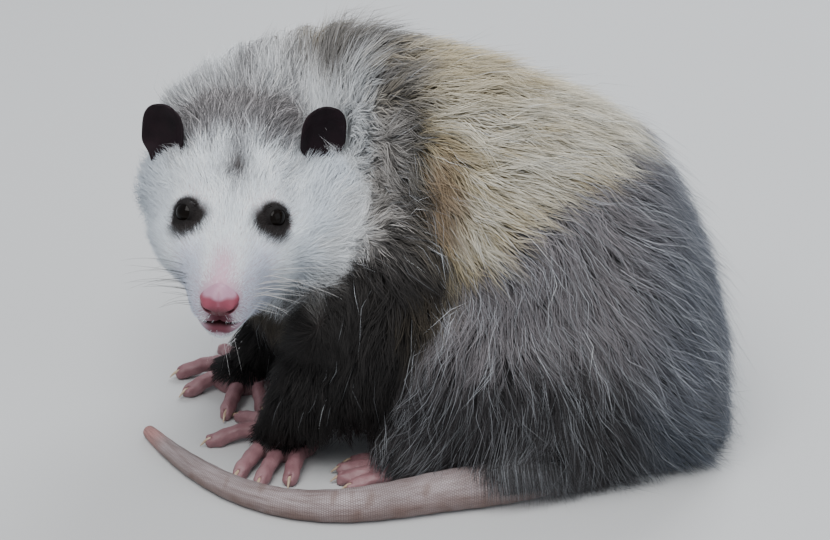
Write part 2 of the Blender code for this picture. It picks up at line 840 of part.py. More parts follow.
def make_head(whole, frame):
    """The head, cut from the whole form, with its lids, mouth and sockets."""
    head = boolean(copy_of(whole, "head"), "INTERSECT", head_room(frame, grow=8))
    head = thinned(head, HEAD_FACES)
    head = boolean(head, "INTERSECT", head_room(frame))
    lids = []
    for side in (-1, 1):
        way = eye_way(frame, side)
        ring_at = eye_centre(frame, side) + way * EYE_RADIUS * 0.42 * MM
        lids.append(torus("lid", facing_matrix(ring_at, way), LID_RING * MM, LID_THICKNESS * MM))
    head = boolean(head, "UNION", *lids)
    cutters = [mouth_gap(frame), make_nose(frame, "nose_room", grow=GAP / MM)]
    for side in (-1, 1):
        socket = EYE_RADIUS + GAP / MM
        cutters.append(ellipsoid("socket", eye_centre(frame, side), vec(socket, socket, socket), segments=12))
        cutters.append(ear_sheet(frame, "ear_room", side, EAR_THICKNESS, extra=GAP / MM))
    return boolean(head, "DIFFERENCE", *cutters)


def make_tail():
    """The tail in a few lengths that meet end to face, flat where it lies on the floor."""
    rows = [(x, y, radius) for x, y, radius in TAIL]
    line = smooth_rows(rows, 61)
    starts = [round(share * (len(line) - 1)) for share in TAIL_SPLITS]
    made = {}
    for index, name in enumerate(TAIL_LENGTHS):
        first, last = starts[index], starts[index + 1]
        rings = []
        for i in range(first, last + 1, 2 if last - first > 6 else 1):
            has_next = index + 1 < len(TAIL_LENGTHS)
            rings += tail_rings(line, i, i == first and index > 0, i == last and has_next)
        if (last - first) % 2 and last - first > 6:
            rings += tail_rings(line, last, False, index + 1 < len(TAIL_LENGTHS))
        made[name] = loft(name, rings)
    return made


def tail_rings(line, i, starts_gap, ends_gap):
    here = Vector((line[i][0], line[i][1], 0))
    before, after = line[max(i - 1, 0)], line[min(i + 1, len(line) - 1)]
    along = Vector((after[0] - before[0], after[1] - before[1], 0)).normalized()
    side = Vector((-along.y, along.x, 0))
    radius = line[i][2]
    steps = [(0, 1)]
    if i == 0:
        steps = [(-math.sin(a), math.cos(a)) for a in (1.3, 0.8, 0.4)] + [(0, 1)]
    if i == len(line) - 1:
        steps = [(0, 1)] + [(math.sin(a), math.cos(a)) for a in (0.4, 0.8, 1.3)]
    shift = (0.5 if starts_gap else 0) - (0.5 if ends_gap else 0)
    rings = []
    for out, wide in steps:
        ring = []
        for angle in half_turns(TAIL_SIDES):
            flat = radius * 0.12
            height = max(radius - flat + math.sin(angle) * radius * wide, 0.0)
            place = here + along * (radius * out + shift * GAP / MM) + side * math.cos(angle) * radius * wide
            ring.append(Vector((place.x, place.y, height)) * MM)
        rings.append(ring)
    return rings


def tail_room():
    """The tail's hidden part, a little thicker, to clear the coat round it."""
    line = smooth_rows(TAIL, 61)[: int(61 * 0.5)]
    rows = [(x, y, radius * 0.88, radius + 0.9) for x, y, radius in line]
    return tube("tail_room", rows, sides=16, rings=12)


def toe_rows(root, tip, radius, height):
    """A toe that leaves the palm, arches and comes down on its pad."""
    rows = []
    stations = ((0, 0.9, 1.15), (0.3, 1.0, 1.0), (0.62, 0.62, 0.94), (0.86, 0.12, 1.02), (0.97, 0.0, 0.9))
    for t, lift, wide in stations:
        x = root[0] + (tip[0] - root[0]) * t
        y = root[1] + (tip[1] - root[1]) * t
        rows.append((x, y, radius * 0.86 + lift * height, radius * wide))
    return rows


def claw(name, root, tip, radius, grow=0.0):
    """A small bent claw that leaves the top of the toe's end."""
    way = Vector((tip[0] - root[0], tip[1] - root[1], 0)).normalized()
    base = Vector((tip[0], tip[1], 0))
    rows = []
    stations = (
        (-2.6, radius * 1.32, 1.0),
        (1.4, radius * 1.28, 0.92),
        (4.0, radius * 0.85, 0.62),
        (5.6, 1.0, 0.3),
    )
    for out, height, thick in stations:
        place = base + way * out
        rows.append((place.x, place.y, height, CLAW_RADIUS * thick + grow))
    if grow:
        rows = rows[:3]
    return tube(name, rows, sides=5, rings=4, ends=())


def make_foot(name, forms, toes, toe_lift, faces, clawed):
    """Joins palm and toes, parts the claws from them, and flattens the underside."""
    for root, tip, radius in toes:
        forms.append(tube("toe", toe_rows(root, tip, radius, toe_lift), sides=12, rings=9))
    foot = join(name, forms)
    baked(
        foot,
        ("REMESH", {"mode": "VOXEL", "voxel_size": FOOT_VOXEL}),
        ("SMOOTH", {"factor": 0.5, "iterations": 3}),
    )
    foot = thinned(foot, faces)
    foot = above_floor(foot)
    claws = []
    rooms = []
    for index in clawed:
        root, tip, radius = toes[index]
        claws.append(claw(f"claw_{name}_{index + 1}", root, tip, radius))
        rooms.append(claw("claw_room", root, tip, radius, grow=GAP / MM))
    foot = boolean(foot, "DIFFERENCE", *rooms)
    return foot, claws


def fore_foot(name, palm, toes):
    x, y, half_x, half_y, height = palm
    forms = [ellipsoid("palm", vec(x, y, height * 0.42), vec(half_x, half_y, height))]
    return make_foot(name, forms, toes, 3.4, FORE_FOOT_FACES, range(len(toes)))


def hind_foot(name, side):
    def place(point):
        x, y = point
        if side == "left":
            return (x, y)
        return (x + RIGHT_HIND_SHIFT, 2 * BODY_MIDDLE - y)

    heel, front = place(SOLE_HEEL), place(SOLE_FRONT)
    rows = [
        (*heel, SOLE_HEIGHT * 0.5, SOLE_WIDTH * 0.8),
        ((heel[0] + front[0]) / 2, (heel[1] + front[1]) / 2, SOLE_HEIGHT * 0.45, SOLE_WIDTH * 0.85),
        (*front, SOLE_HEIGHT * 0.26, SOLE_WIDTH),
    ]
    forms = [tube("sole", rows, sides=20, rings=8)]
    toes = [(place(root), place(tip), radius) for root, tip, radius in HIND_TOES]
    return make_foot(name, forms, toes, 3.0, HIND_FOOT_FACES, range(1, len(toes)))


def grown_copy(source, grow):
    """The same form moved outwards along its normals, as room for it in its neighbour."""
    room = copy_of(source, "room")
    work = bmesh.new()
    work.from_mesh(room.data)
    work.normal_update()
    moved = [(vertex, vertex.co + vertex.normal * grow) for vertex in work.verts]
    for vertex, place in moved:
        vertex.co = place
    work.to_mesh(room.data)
    work.free()
    return room


def finish(made, group, materials):
    """Moves the nodes to the base centre, names them and gives each its material."""
    low = Vector((math.inf,) * 3)
    high = -low
    for piece, _ in made.values():
        for vertex in piece.data.vertices:
            low = Vector(map(min, low, vertex.co))
            high = Vector(map(max, high, vertex.co))
    home = Vector(((low.x + high.x) / 2, (low.y + high.y) / 2, low.z))
    for name, (piece, look) in made.items():
        piece.name = name
        piece.data.name = name
        piece.data.materials.clear()
        piece.data.materials.append(materials[look])
        piece.data.shade_smooth()
        piece.data.set_sharp_from_angle(angle=math.radians(50))
        workshop.objects.unlink(piece)
        group.objects.link(piece)
        piece.location = -home


clear_scene()
workshop = collection_named("workshop")
opossum = collection_named("opossum")
materials = {
    "face_fur": material("face_fur", (0.80, 0.80, 0.77), 0.8),
    "body_fur": material("body_fur", (0.42, 0.41, 0.40), 0.85),
    "dark_fur": material("dark_fur", (0.05, 0.05, 0.05), 0.85),
    "pink_skin": material("pink_skin", (0.72, 0.45, 0.46), 0.5),
    "tail_skin": material("tail_skin", (0.62, 0.55, 0.52), 0.6),
    "ear_skin": material("ear_skin", (0.02, 0.02, 0.025), 0.5),
    "eye": material("eye", (0.01, 0.01, 0.012), 0.08),
    "claw": material("claw", (0.75, 0.68, 0.58), 0.4),
}

head_frame = HeadFrame()
animal = whole_animal(head_frame)
head = make_head(animal, head_frame)
core = sunken(thinned(animal, BODY_FACES))
body = above_floor(add_locks(core, head_frame))
parts = part_body(body, head_frame)

feet = {
    "forefoot_left": fore_foot("forefoot_left", LEFT_PALM, LEFT_TOES),
    "forefoot_right": fore_foot("forefoot_right", RIGHT_PALM, RIGHT_TOES),
    "hindfoot_left": hind_foot("hindfoot_left", "left"),
    "hindfoot_right": hind_foot("hindfoot_right", "right"),
}
for name, foot, hosts in (
    ("forefoot_left", feet["forefoot_left"][0], ("foreleg_left",)),
    ("forefoot_right", feet["forefoot_right"][0], ("foreleg_right",)),
    ("hindfoot_left", feet["hindfoot_left"][0], ("thigh_left", "chest")),
    ("hindfoot_right", feet["hindfoot_right"][0], ("thigh_right", "chest")),
):
    for host in hosts:
        parts[host] = boolean(parts[host], "DIFFERENCE", grown_copy(foot, 0.4 * MM), solver="MANIFOLD")
for host in ("thigh_left", "rump", "chest"):
    parts[host] = boolean(parts[host], "DIFFERENCE", tail_room(), solver="MANIFOLD")

nodes = {"head": (head, "face_fur")}
nose = boolean(make_nose(head_frame, "nose"), "DIFFERENCE", *nostrils(head_frame))
nodes["nose"] = (nose, "pink_skin")
for label, side in (("left", 1), ("right", -1)):
    nodes[f"eye_{label}"] = (make_eye(head_frame, f"eye_{label}", side), "eye")
    nodes[f"ear_{label}"] = (ear_sheet(head_frame, f"ear_{label}", side, EAR_THICKNESS), "ear_skin")
for name, piece in parts.items():
    nodes[name] = (piece, "dark_fur" if "foreleg" in name else "body_fur")
for name, piece in make_tail().items():
    nodes[name] = (piece, "tail_skin")
for name, (foot, claws) in feet.items():
    nodes[name] = (foot, "pink_skin")
    for nail in claws:
        nodes[nail.name] = (nail, "claw")
finish(nodes, opossum, materials)
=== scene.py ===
import json
import math
import bpy
import bmesh
import numpy as np
from mathutils import Matrix, Vector
from mathutils.bvhtree import BVHTree
from mathutils.kdtree import KDTree

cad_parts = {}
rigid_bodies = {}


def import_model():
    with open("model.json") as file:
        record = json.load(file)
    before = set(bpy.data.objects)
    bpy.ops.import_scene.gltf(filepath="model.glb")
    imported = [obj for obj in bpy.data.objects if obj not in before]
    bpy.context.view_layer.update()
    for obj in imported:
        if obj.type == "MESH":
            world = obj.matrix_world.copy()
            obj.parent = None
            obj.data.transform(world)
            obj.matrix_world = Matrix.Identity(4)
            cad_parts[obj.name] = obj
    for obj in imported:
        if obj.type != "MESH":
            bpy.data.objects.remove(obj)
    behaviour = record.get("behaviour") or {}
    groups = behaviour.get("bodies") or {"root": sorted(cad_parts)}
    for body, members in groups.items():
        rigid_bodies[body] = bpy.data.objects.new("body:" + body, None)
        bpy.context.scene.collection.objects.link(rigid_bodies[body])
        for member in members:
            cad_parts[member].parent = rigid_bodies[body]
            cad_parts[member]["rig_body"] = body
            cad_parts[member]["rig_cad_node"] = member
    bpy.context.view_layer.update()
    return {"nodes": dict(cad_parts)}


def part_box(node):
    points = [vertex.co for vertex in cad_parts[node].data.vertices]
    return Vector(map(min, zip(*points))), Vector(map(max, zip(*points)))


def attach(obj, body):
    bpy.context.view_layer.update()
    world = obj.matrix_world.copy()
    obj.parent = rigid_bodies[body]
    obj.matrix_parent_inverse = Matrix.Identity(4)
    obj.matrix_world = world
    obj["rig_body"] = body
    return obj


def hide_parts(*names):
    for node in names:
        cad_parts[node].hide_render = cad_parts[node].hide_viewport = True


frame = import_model()
mm = 0.001
bpy.ops.object.select_all(action="DESELECT")

# where the head is turned; sizes below are in mm in the sitting plan, placePlan moves them to the frame
headTurn = {"nose": (-91.4, -78.0, 120.0), "yaw": 1.8, "pitch": 7.0, "roll": 3.0}
eyeSpec = {"back": 57.5, "side": 19.9, "up": 10.2, "radius": 6.6, "look": (0.66, 0.62, 0.42), "open": 42.0}
bodyMiddle = 21.0
leftRight = (("left", 1), ("right", -1))


def unit(v):
    return v / np.maximum(np.linalg.norm(v, axis=-1, keepdims=True), 1e-12)


def ease(value, low, high):
    t = np.clip((value - low) / (high - low), 0.0, 1.0)
    return t * t * (3 - 2 * t)


def size(v):
    return np.linalg.norm(v, axis=-1)


def offLine(v, line):
    # what vectors keep once their part along a line is taken away
    return v - line * np.sum(v * line, -1, keepdims=True)


def hump(*terms):
    # 1 where each value is at its middle, falling off over its width
    return np.exp(-sum(((value - middle) / width) ** 2 for value, middle, width in terms))


def headAxes():
    yaw, pitch = math.radians(headTurn["yaw"]), math.radians(headTurn["pitch"])
    ahead = Vector((-math.sin(yaw) * math.cos(pitch), -math.cos(yaw) * math.cos(pitch), -math.sin(pitch)))
    level = Vector((0, 0, 1)).cross(ahead).normalized()
    turn = Matrix.Rotation(math.radians(-headTurn["roll"]), 3, ahead)
    return np.array(ahead), np.array(turn @ level), np.array(turn @ ahead.cross(level))


ahead, leftward, upward = headAxes()
nosePlan = np.array(headTurn["nose"])


def headPlan(back, left, up):
    return nosePlan + leftward * left + upward * up - ahead * back


def inHead(plan):
    # plan points as distance behind the nose, to the animal's left, and up
    offset = plan - nosePlan
    return -offset @ ahead, offset @ leftward, offset @ upward


def eyePlan(side):
    return headPlan(eyeSpec["back"], side * eyeSpec["side"], eyeSpec["up"])


def eyeLook(side):
    forward, out, up = eyeSpec["look"]
    return unit(ahead * forward + leftward * side * out + upward * up)


eyeLow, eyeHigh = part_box("eye_left")
homeShift = np.array((eyeLow + eyeHigh) / 2) - eyePlan(1) * mm


def placePlan(plan):
    return np.asarray(plan) * mm + homeShift


def toPlan(place):
    return (np.asarray(place) - homeShift) / mm


def looseMesh(name, verts, faces):
    mesh = bpy.data.meshes.new(name)
    mesh.from_pydata([tuple(v) for v in verts], [], [tuple(f) for f in faces])
    made = bpy.data.objects.new(name, mesh)
    bpy.context.scene.collection.objects.link(made)
    return made


def pickOnly(*objects):
    bpy.ops.object.select_all(action="DESELECT")
    for one in objects:
        one.select_set(True)
    bpy.context.view_layer.objects.active = objects[0]


def applyModifier(target, kind, **settings):
    pickOnly(target)
    modifier = target.modifiers.new(kind.title(), kind)
    for key, value in settings.items():
        setattr(modifier, key, value)
    bpy.ops.object.modifier_apply(modifier=modifier.name)
    return target


def weighVertices(target, name, share):
    group = target.vertex_groups.new(name=name)
    for step in range(1, 11):
        here = np.nonzero(np.round(share * 10) == step)[0]
        group.add([int(i) for i in here], step / 10, "REPLACE")


def editAll(target, *steps):
    # runs mesh operators, each with its settings, on everything in a piece
    pickOnly(target)
    bpy.ops.object.mode_set(mode="EDIT")
    bpy.ops.mesh.select_all(action="SELECT")
    for step, settings in steps:
        step(**settings)
    bpy.ops.object.mode_set(mode="OBJECT")
    return target


def faceOut(target):
    return editAll(target, (bpy.ops.mesh.normals_make_consistent, {"inside": False}))


def remesh(target, voxel):
    target.data.remesh_voxel_size = voxel
    pickOnly(target)
    bpy.ops.object.voxel_remesh()


def ball(name, segments, rings, radius=1):
    bpy.ops.mesh.primitive_uv_sphere_add(segments=segments, ring_count=rings, radius=radius,
        location=(0, 0, 0))
    bpy.context.object.name = name
    return bpy.context.object


def paintPoints(mesh, name, colour):
    full = np.ones((len(mesh.vertices), 4), np.float32)
    full[:, :3] = colour
    mesh.attributes.new(name, "FLOAT_COLOR", "POINT").data.foreach_set("color", full.ravel())


def settle(piece, material, slot, *nodes):
    # a finished piece: its material and body, and the solids that it stands for; the slot is not used
    piece.data.materials.clear()
    piece.data.materials.append(material)
    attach(piece, "root")
    if nodes:
        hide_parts(*nodes)


def joinAll(pieces, name):
    pickOnly(*pieces)
    bpy.ops.object.join()
    pieces[0].name = name
    pieces[0].data.name = name
    return pieces[0]


def getCo(mesh):
    co = np.empty(len(mesh.vertices) * 3)
    mesh.vertices.foreach_get("co", co)
    return co.reshape(-1, 3)


def setCo(mesh, co):
    mesh.vertices.foreach_set("co", np.ascontiguousarray(co, float).ravel())
    mesh.update()


def getNormals(mesh):
    normals = np.empty(len(mesh.vertices) * 3)
    mesh.vertex_normals.foreach_get("vector", normals)
    return normals.reshape(-1, 3)


def ringLoft(name, rings):
    # closed skin over equal rings, placed in the frame
    rings = np.array(rings)
    count = rings.shape[1]
    faces = []
    for low in range(0, (len(rings) - 1) * count, count):
        for side in range(count):
            after = (side + 1) % count
            faces.append((low + side, low + after, low + count + after, low + count + side))
    faces.append(tuple(reversed(range(count))))
    faces.append(tuple((len(rings) - 1) * count + side for side in range(count)))
    return faceOut(looseMesh(name, placePlan(rings.reshape(-1, 3)), faces))


def softRows(rows, count):
    # a smooth curve through rows of numbers, at even steps
    rows = np.array(rows, float)
    at = np.concatenate([[0], np.cumsum(size(np.diff(rows[:, :2], axis=0)))])
    slopes = np.gradient(rows, at, axis=0)
    want = np.linspace(0, at[-1], count)
    i = np.clip(np.searchsorted(at, want, side="right") - 1, 0, len(rows) - 2)
    span = (at[i + 1] - at[i])[:, None]
    t = (want - at[i])[:, None] / span
    first = (2 * t**3 - 3 * t**2 + 1) * rows[i] + (t**3 - 2 * t**2 + t) * span * slopes[i]
    return first + (3 * t**2 - 2 * t**3) * rows[i + 1] + (t**3 - t**2) * span * slopes[i + 1]


def ovalRing(centre, across, up, half, rise, fall, count):
    angles = np.linspace(0, 2 * math.pi, count, endpoint=False)
    lift = np.sin(angles)
    height = np.where(lift > 0, rise, fall) * lift
    return centre + np.outer(np.cos(angles) * half, across) + np.outer(height, up)


def limbTube(name, rows, sides=24, count=18):
    line = softRows(rows, count)
    roundEnd = [(0.98, 0.17), (0.82, 0.57), (0.47, 0.88)]
    rings = []
    across = np.array((0.3, 1, 0.2))
    for i, row in enumerate(line):
        along = unit(line[min(i + 1, count - 1), :3] - line[max(i - 1, 0), :3])
        across = unit(offLine(across if i else np.cross(along, across), along))
        steps = [(-out, wide) for out, wide in roundEnd] if i == 0 else []
        steps += [(0, 1)] + (roundEnd[::-1] if i == count - 1 else [])
        for out, wide in steps:
            radius = row[3] * wide
            rings.append(ovalRing(row[:3] + along * row[3] * out, across, np.cross(along, across), radius,
                radius, radius, sides))
    return ringLoft(name, rings)


def roundForm(name, centre, radii, lean=0.0):
    form = ball(name, 48, 24)
    turn = Matrix.Rotation(math.radians(lean), 4, "Y")
    stretch = Matrix.Diagonal((*(np.array(radii) * mm), 1))
    form.data.transform(Matrix.Translation(Vector(placePlan(centre))) @ turn @ stretch)
    return form


# colours are given as they look on screen and turned to linear here
def tone(red, green, blue):
    c = np.array((red, green, blue), float) / 255
    return np.where(c <= 0.04045, c / 12.92, ((c + 0.055) / 1.055) ** 2.4)


def lay(under, colour, mask):
    return under + (colour - under) * mask[:, None]


def plug(tree, slot, value):
    if isinstance(value, Socket):
        tree.links.new(value.out, slot)
    else:
        slot.default_value = value


class Socket:
    # shader maths as plain expressions

    def __init__(self, tree, out):
        self.tree = tree
        self.out = out

    def _math(self, kind, a, b):
        node = self.tree.nodes.new("ShaderNodeMath")
        node.operation = kind
        plug(self.tree, node.inputs[0], a)
        plug(self.tree, node.inputs[1], b)
        return Socket(self.tree, node.outputs[0])

    def __add__(self, other):
        return self._math("ADD", self, other)

    def __rsub__(self, other):
        return self._math("SUBTRACT", other, self)

    def __mul__(self, other):
        return self._math("MULTIPLY", self, other)

    def __rmul__(self, other):
        return self._math("MULTIPLY", other, self)

    def __pow__(self, other):
        return self._math("POWER", self, other)


class Finish:
    # one material; node() adds any node from its settings and inputs

    def __init__(self, name, roughness, specular=0.4):
        self.material = bpy.data.materials.new(name)
        self.material.use_nodes = True
        self.tree = self.material.node_tree
        self.shader = self.tree.nodes["Principled BSDF"]
        self.shader.inputs["Roughness"].default_value = roughness
        self.shader.inputs["Specular IOR Level"].default_value = specular

    def node(self, kind, settings=None, inputs=None, out=0):
        node = self.tree.nodes.new(kind)
        for key, value in (settings or {}).items():
            setattr(node, key, value)
        for key, value in (inputs or {}).items():
            plug(self.tree, node.inputs[key], value)
        return Socket(self.tree, node.outputs[out])

    def feed(self, name, value):
        self.tree.links.new(value.out, self.shader.inputs[name])

    def place(self):
        return self.node("ShaderNodeTexCoord", out=3)

    def noise(self, scale, detail=3.0, vector=None):
        inputs = {"Vector": vector or self.place(), "Scale": scale, "Detail": detail}
        return self.node("ShaderNodeTexNoise", inputs=inputs)

    def bump(self, height, strength, distance):
        inputs = {"Height": height, "Strength": strength, "Distance": distance}
        self.feed("Normal", self.node("ShaderNodeBump", inputs=inputs))

    def attribute(self, name):
        return self.node("ShaderNodeAttribute", {"attribute_name": name})

    def mix(self, factor, a, b, blend="MIX"):
        a, b = (value if isinstance(value, Socket) else (*value, 1) for value in (a, b))
        return self.node("ShaderNodeMix", {"data_type": "RGBA", "blend_type": blend},
            {0: factor, 6: a, 7: b}, 2)


# the one skin: forms of body, limbs and head, under the coat
skinSpec = {
    "torso": (
        (161, 22, 24, 40, 56, 8), (154, 22, 46, 43, 82, -6), (143, 22, 66, 46, 112, -8),
        (125, 21, 79, 50, 148, -8),
        (98, 20, 85, 55, 174, -8), (66, 19, 85, 62, 191, -8), (34, 19, 79, 74, 204, 0),
        (8, 26, 67, 86, 210, 12),
        (-22, 44, 48, 98, 212, 24), (-48, 60, 34, 108, 206, 40), (-76, 62, 32, 118, 198, 58),
        (-101, 61, 29, 126, 188, 76),
        (-121, 59, 25, 132, 175, 94), (-132, 57, 14, 136, 160, 112),
    ),
    "thigh": ((58, -30, 54), (80, 43, 62), 14),
    "foreLeft": ((4, -12, 110, 37), (-10, -22, 80, 36), (-31, -27, 54, 30), (-46, -24, 36, 25),
    (-58, -18, 22, 18.5), (-65, -13, 12, 12.5)),
    "foreRight": ((-34, 74, 112, 34), (-40, 76, 80, 31), (-56, 71, 54, 26), (-70, 64, 35, 21),
    (-81, 58, 21, 16.5), (-88, 55, 12, 12.5)),
    "ruff": ((-44, 3, 114), (26, 36, 37)),
    "throat": ((-52, 28, 76), (35, 36, 42)),
    "lapLeft": ((17, -38, 24), (40, 27, 30)),
    "lapRight": ((21, 80, 24), (40, 27, 30)),
    "cheekPad": ((66, 22, -6), (22, 34, 24)),
    "head": (
        (1.5, 8.5, 4.5, -22, -8), (5, 11.8, 7, -25.5, -9), (12, 15, 9, -28, -9.5),
        (24, 19.5, 11, -31.5, -9.5),
        (36, 24.5, 13.2, -34.5, -10), (47, 29.5, 15.8, -37, -10), (56, 34, 19.5, -39, -9.5),
        (65, 39.5, 25.5, -40, -8),
        (75, 45, 32, -41, -7), (86, 49.5, 37, -41, -6), (99, 51, 41, -40, -4), (113, 47, 43, -35, 0),
        (127, 38, 40, -24, 6), (138, 22, 31, -6, 11),
    ),
    "voxel": 2.3, "bodyFaces": 236000, "faces": 192000, "guideFaces": 9000,
    "bodyDepth": 9.0, "floorGap": 0.4, "farSqueeze": 0.46, "nearSqueeze": 0.20,
}


def skinDepth(plan):
    # how far the skin lies under the coat's outer form: deep on the body, shallow on face and wrists
    x, y, z = plan.T
    back, left, up = inHead(plan)
    depth = skinSpec["bodyDepth"] * (0.4 + 0.6 * ease(z, 4, 40))
    depth = depth * (1 - 0.45 * ease(-x, 45, 70) * (1 - ease(z, 55, 85)))
    headShare = (1 - ease(back, 84, 118)) * ease(up, -60, -44) * (1 - ease(left, 44, 66))
    face = 0.9 + 3.4 * ease(back, 18, 80) + 3.0 * ease(np.abs(left), 20, 38) * ease(back, 28, 50)
    for side in (-1, 1):
        face = face * (0.45 + 0.55 * ease(size(plan - eyePlan(side)), 9, 22))
    return depth + (face - depth) * headShare


def makeForms():
    forms = []
    rings = []
    for x, middle, half, wide, top, bottom in softRows(skinSpec["torso"], 50):
        rings.append(ovalRing((x, middle, wide), (0, 1, 0), (0, 0, 1), half, top - wide, wide - bottom, 60))
    forms.append(ringLoft("torsoForm", rings))
    (x, y, z), radii, lean = skinSpec["thigh"]
    for middle in (y, 2 * bodyMiddle - y):
        forms.append(roundForm("thighForm", (x, middle, z), radii, lean))
    for name in ("foreLeft", "foreRight"):
        forms.append(limbTube(name, skinSpec[name]))
    for name in ("ruff", "throat", "lapLeft", "lapRight"):
        forms.append(roundForm(name, *skinSpec[name]))
    (back, out, up), radii = skinSpec["cheekPad"]
    headTurned = Matrix((leftward, -ahead, upward)).transposed().to_4x4()
    for side in (-1, 1):
        pad = roundForm("cheekPad", (0, 0, 0), radii)
        pad.data.transform(Matrix.Translation(Vector(-homeShift)))
        middle = Vector(placePlan(headPlan(back, side * out, up)))
        pad.data.transform(Matrix.Translation(middle) @ headTurned)
        forms.append(pad)
    rings = []
    for back, half, top, bottom, wide in softRows(skinSpec["head"], 70):
        middle = headPlan(back, 0, wide)
        rings.append(ovalRing(middle, leftward, upward, half, top - wide, wide - bottom, 64))
    forms.append(ringLoft("headForm", rings))
    return forms


def makeSkin():
    skin = joinAll(makeForms(), "skin")
    remesh(skin, skinSpec["voxel"] * mm)
    applyModifier(skin, "SMOOTH", factor=0.5, iterations=8)
    # under the cheeks the face draws in towards the jaw, more on its far side
    co = getCo(skin.data)
    back, left, up = inHead(toPlan(co))
    low = ease(-up, 4, 34) * ease(back, 14, 34) * (1 - ease(back, 84, 108))
    squeeze = np.where(left < 0, skinSpec["farSqueeze"], skinSpec["nearSqueeze"])
    squeeze = squeeze * low * (1 - ease(np.abs(left), 52, 66))
    setCo(skin.data, co - leftward * (left * squeeze * mm)[:, None])
    # the joins between head, cheeks and neck are eased further, not the muzzle
    share = ease(back, 26, 46) * (1 - ease(back, 104, 132)) * (1 - ease(np.abs(left), 70, 80))
    weighVertices(skin, "joins", share)
    applyModifier(skin, "SMOOTH", factor=0.5, iterations=36, vertex_group="joins")
    co = getCo(skin.data)
    setCo(skin.data, co - getNormals(skin.data) * (skinDepth(toPlan(co)) * mm)[:, None])
    applyModifier(skin, "SMOOTH", factor=0.5, iterations=3)
    # finer mesh on the face, finer still at the eyes and mouth
    for near in (frontOfHead(70), frontOfHead(40), nearEyes, nearEyes, nearMouth):
        refine(skin, near)
    sculptFace(skin)
    co = getCo(skin.data)
    co[:, 2] = np.maximum(co[:, 2], skinSpec["floorGap"] * mm)
    setCo(skin.data, co)
    skin.data.shade_smooth()
    return skin


def frontOfHead(depth):
    return lambda plan: 1 - ease(inHead(plan)[0], depth, depth + 1)


def nearEyes(plan):
    return np.maximum(*(1 - ease(size(plan - eyePlan(side)), 13, 13.5) for side in (-1, 1)))


def nearMouth(plan):
    back, _, up = inHead(plan)
    return (1 - ease(back, 21, 22)) * ease(up, -29, -28)


def refine(target, chosen):
    # subdivides only the chosen faces and eases what that adds
    mesh = target.data
    centres = np.empty(len(mesh.polygons) * 3)
    mesh.polygons.foreach_get("center", centres)
    pickOnly(target)
    bpy.ops.object.mode_set(mode="EDIT")
    bpy.ops.mesh.select_mode(type="FACE")
    bpy.ops.mesh.select_all(action="DESELECT")
    bpy.ops.object.mode_set(mode="OBJECT")
    mesh.polygons.foreach_set("select", chosen(toPlan(centres.reshape(-1, 3))) > 0.5)
    bpy.ops.object.mode_set(mode="EDIT")
    bpy.ops.mesh.subdivide(number_cuts=1, smoothness=0.0, ngon=False)
    bpy.ops.mesh.vertices_smooth(factor=0.5, repeat=3)
    bpy.ops.object.mode_set(mode="OBJECT")


faceSpec = {"mouthUp": -15.2, "mouthBack": 31.0, "lidRim": 0.6, "lidDepth": 1.9, "lidFade": 96.0}


def mouthLine(back, left):
    # height of the mouth: a shallow bow at the front, rising a little to its corners
    bow = 0.7 * np.exp(-(left / 2.2) ** 2) * (1 - ease(back, 6, 12))
    return faceSpec["mouthUp"] + bow - 0.5 * ease(back, 5, 14) + 2.2 * ease(back, 18, 32)


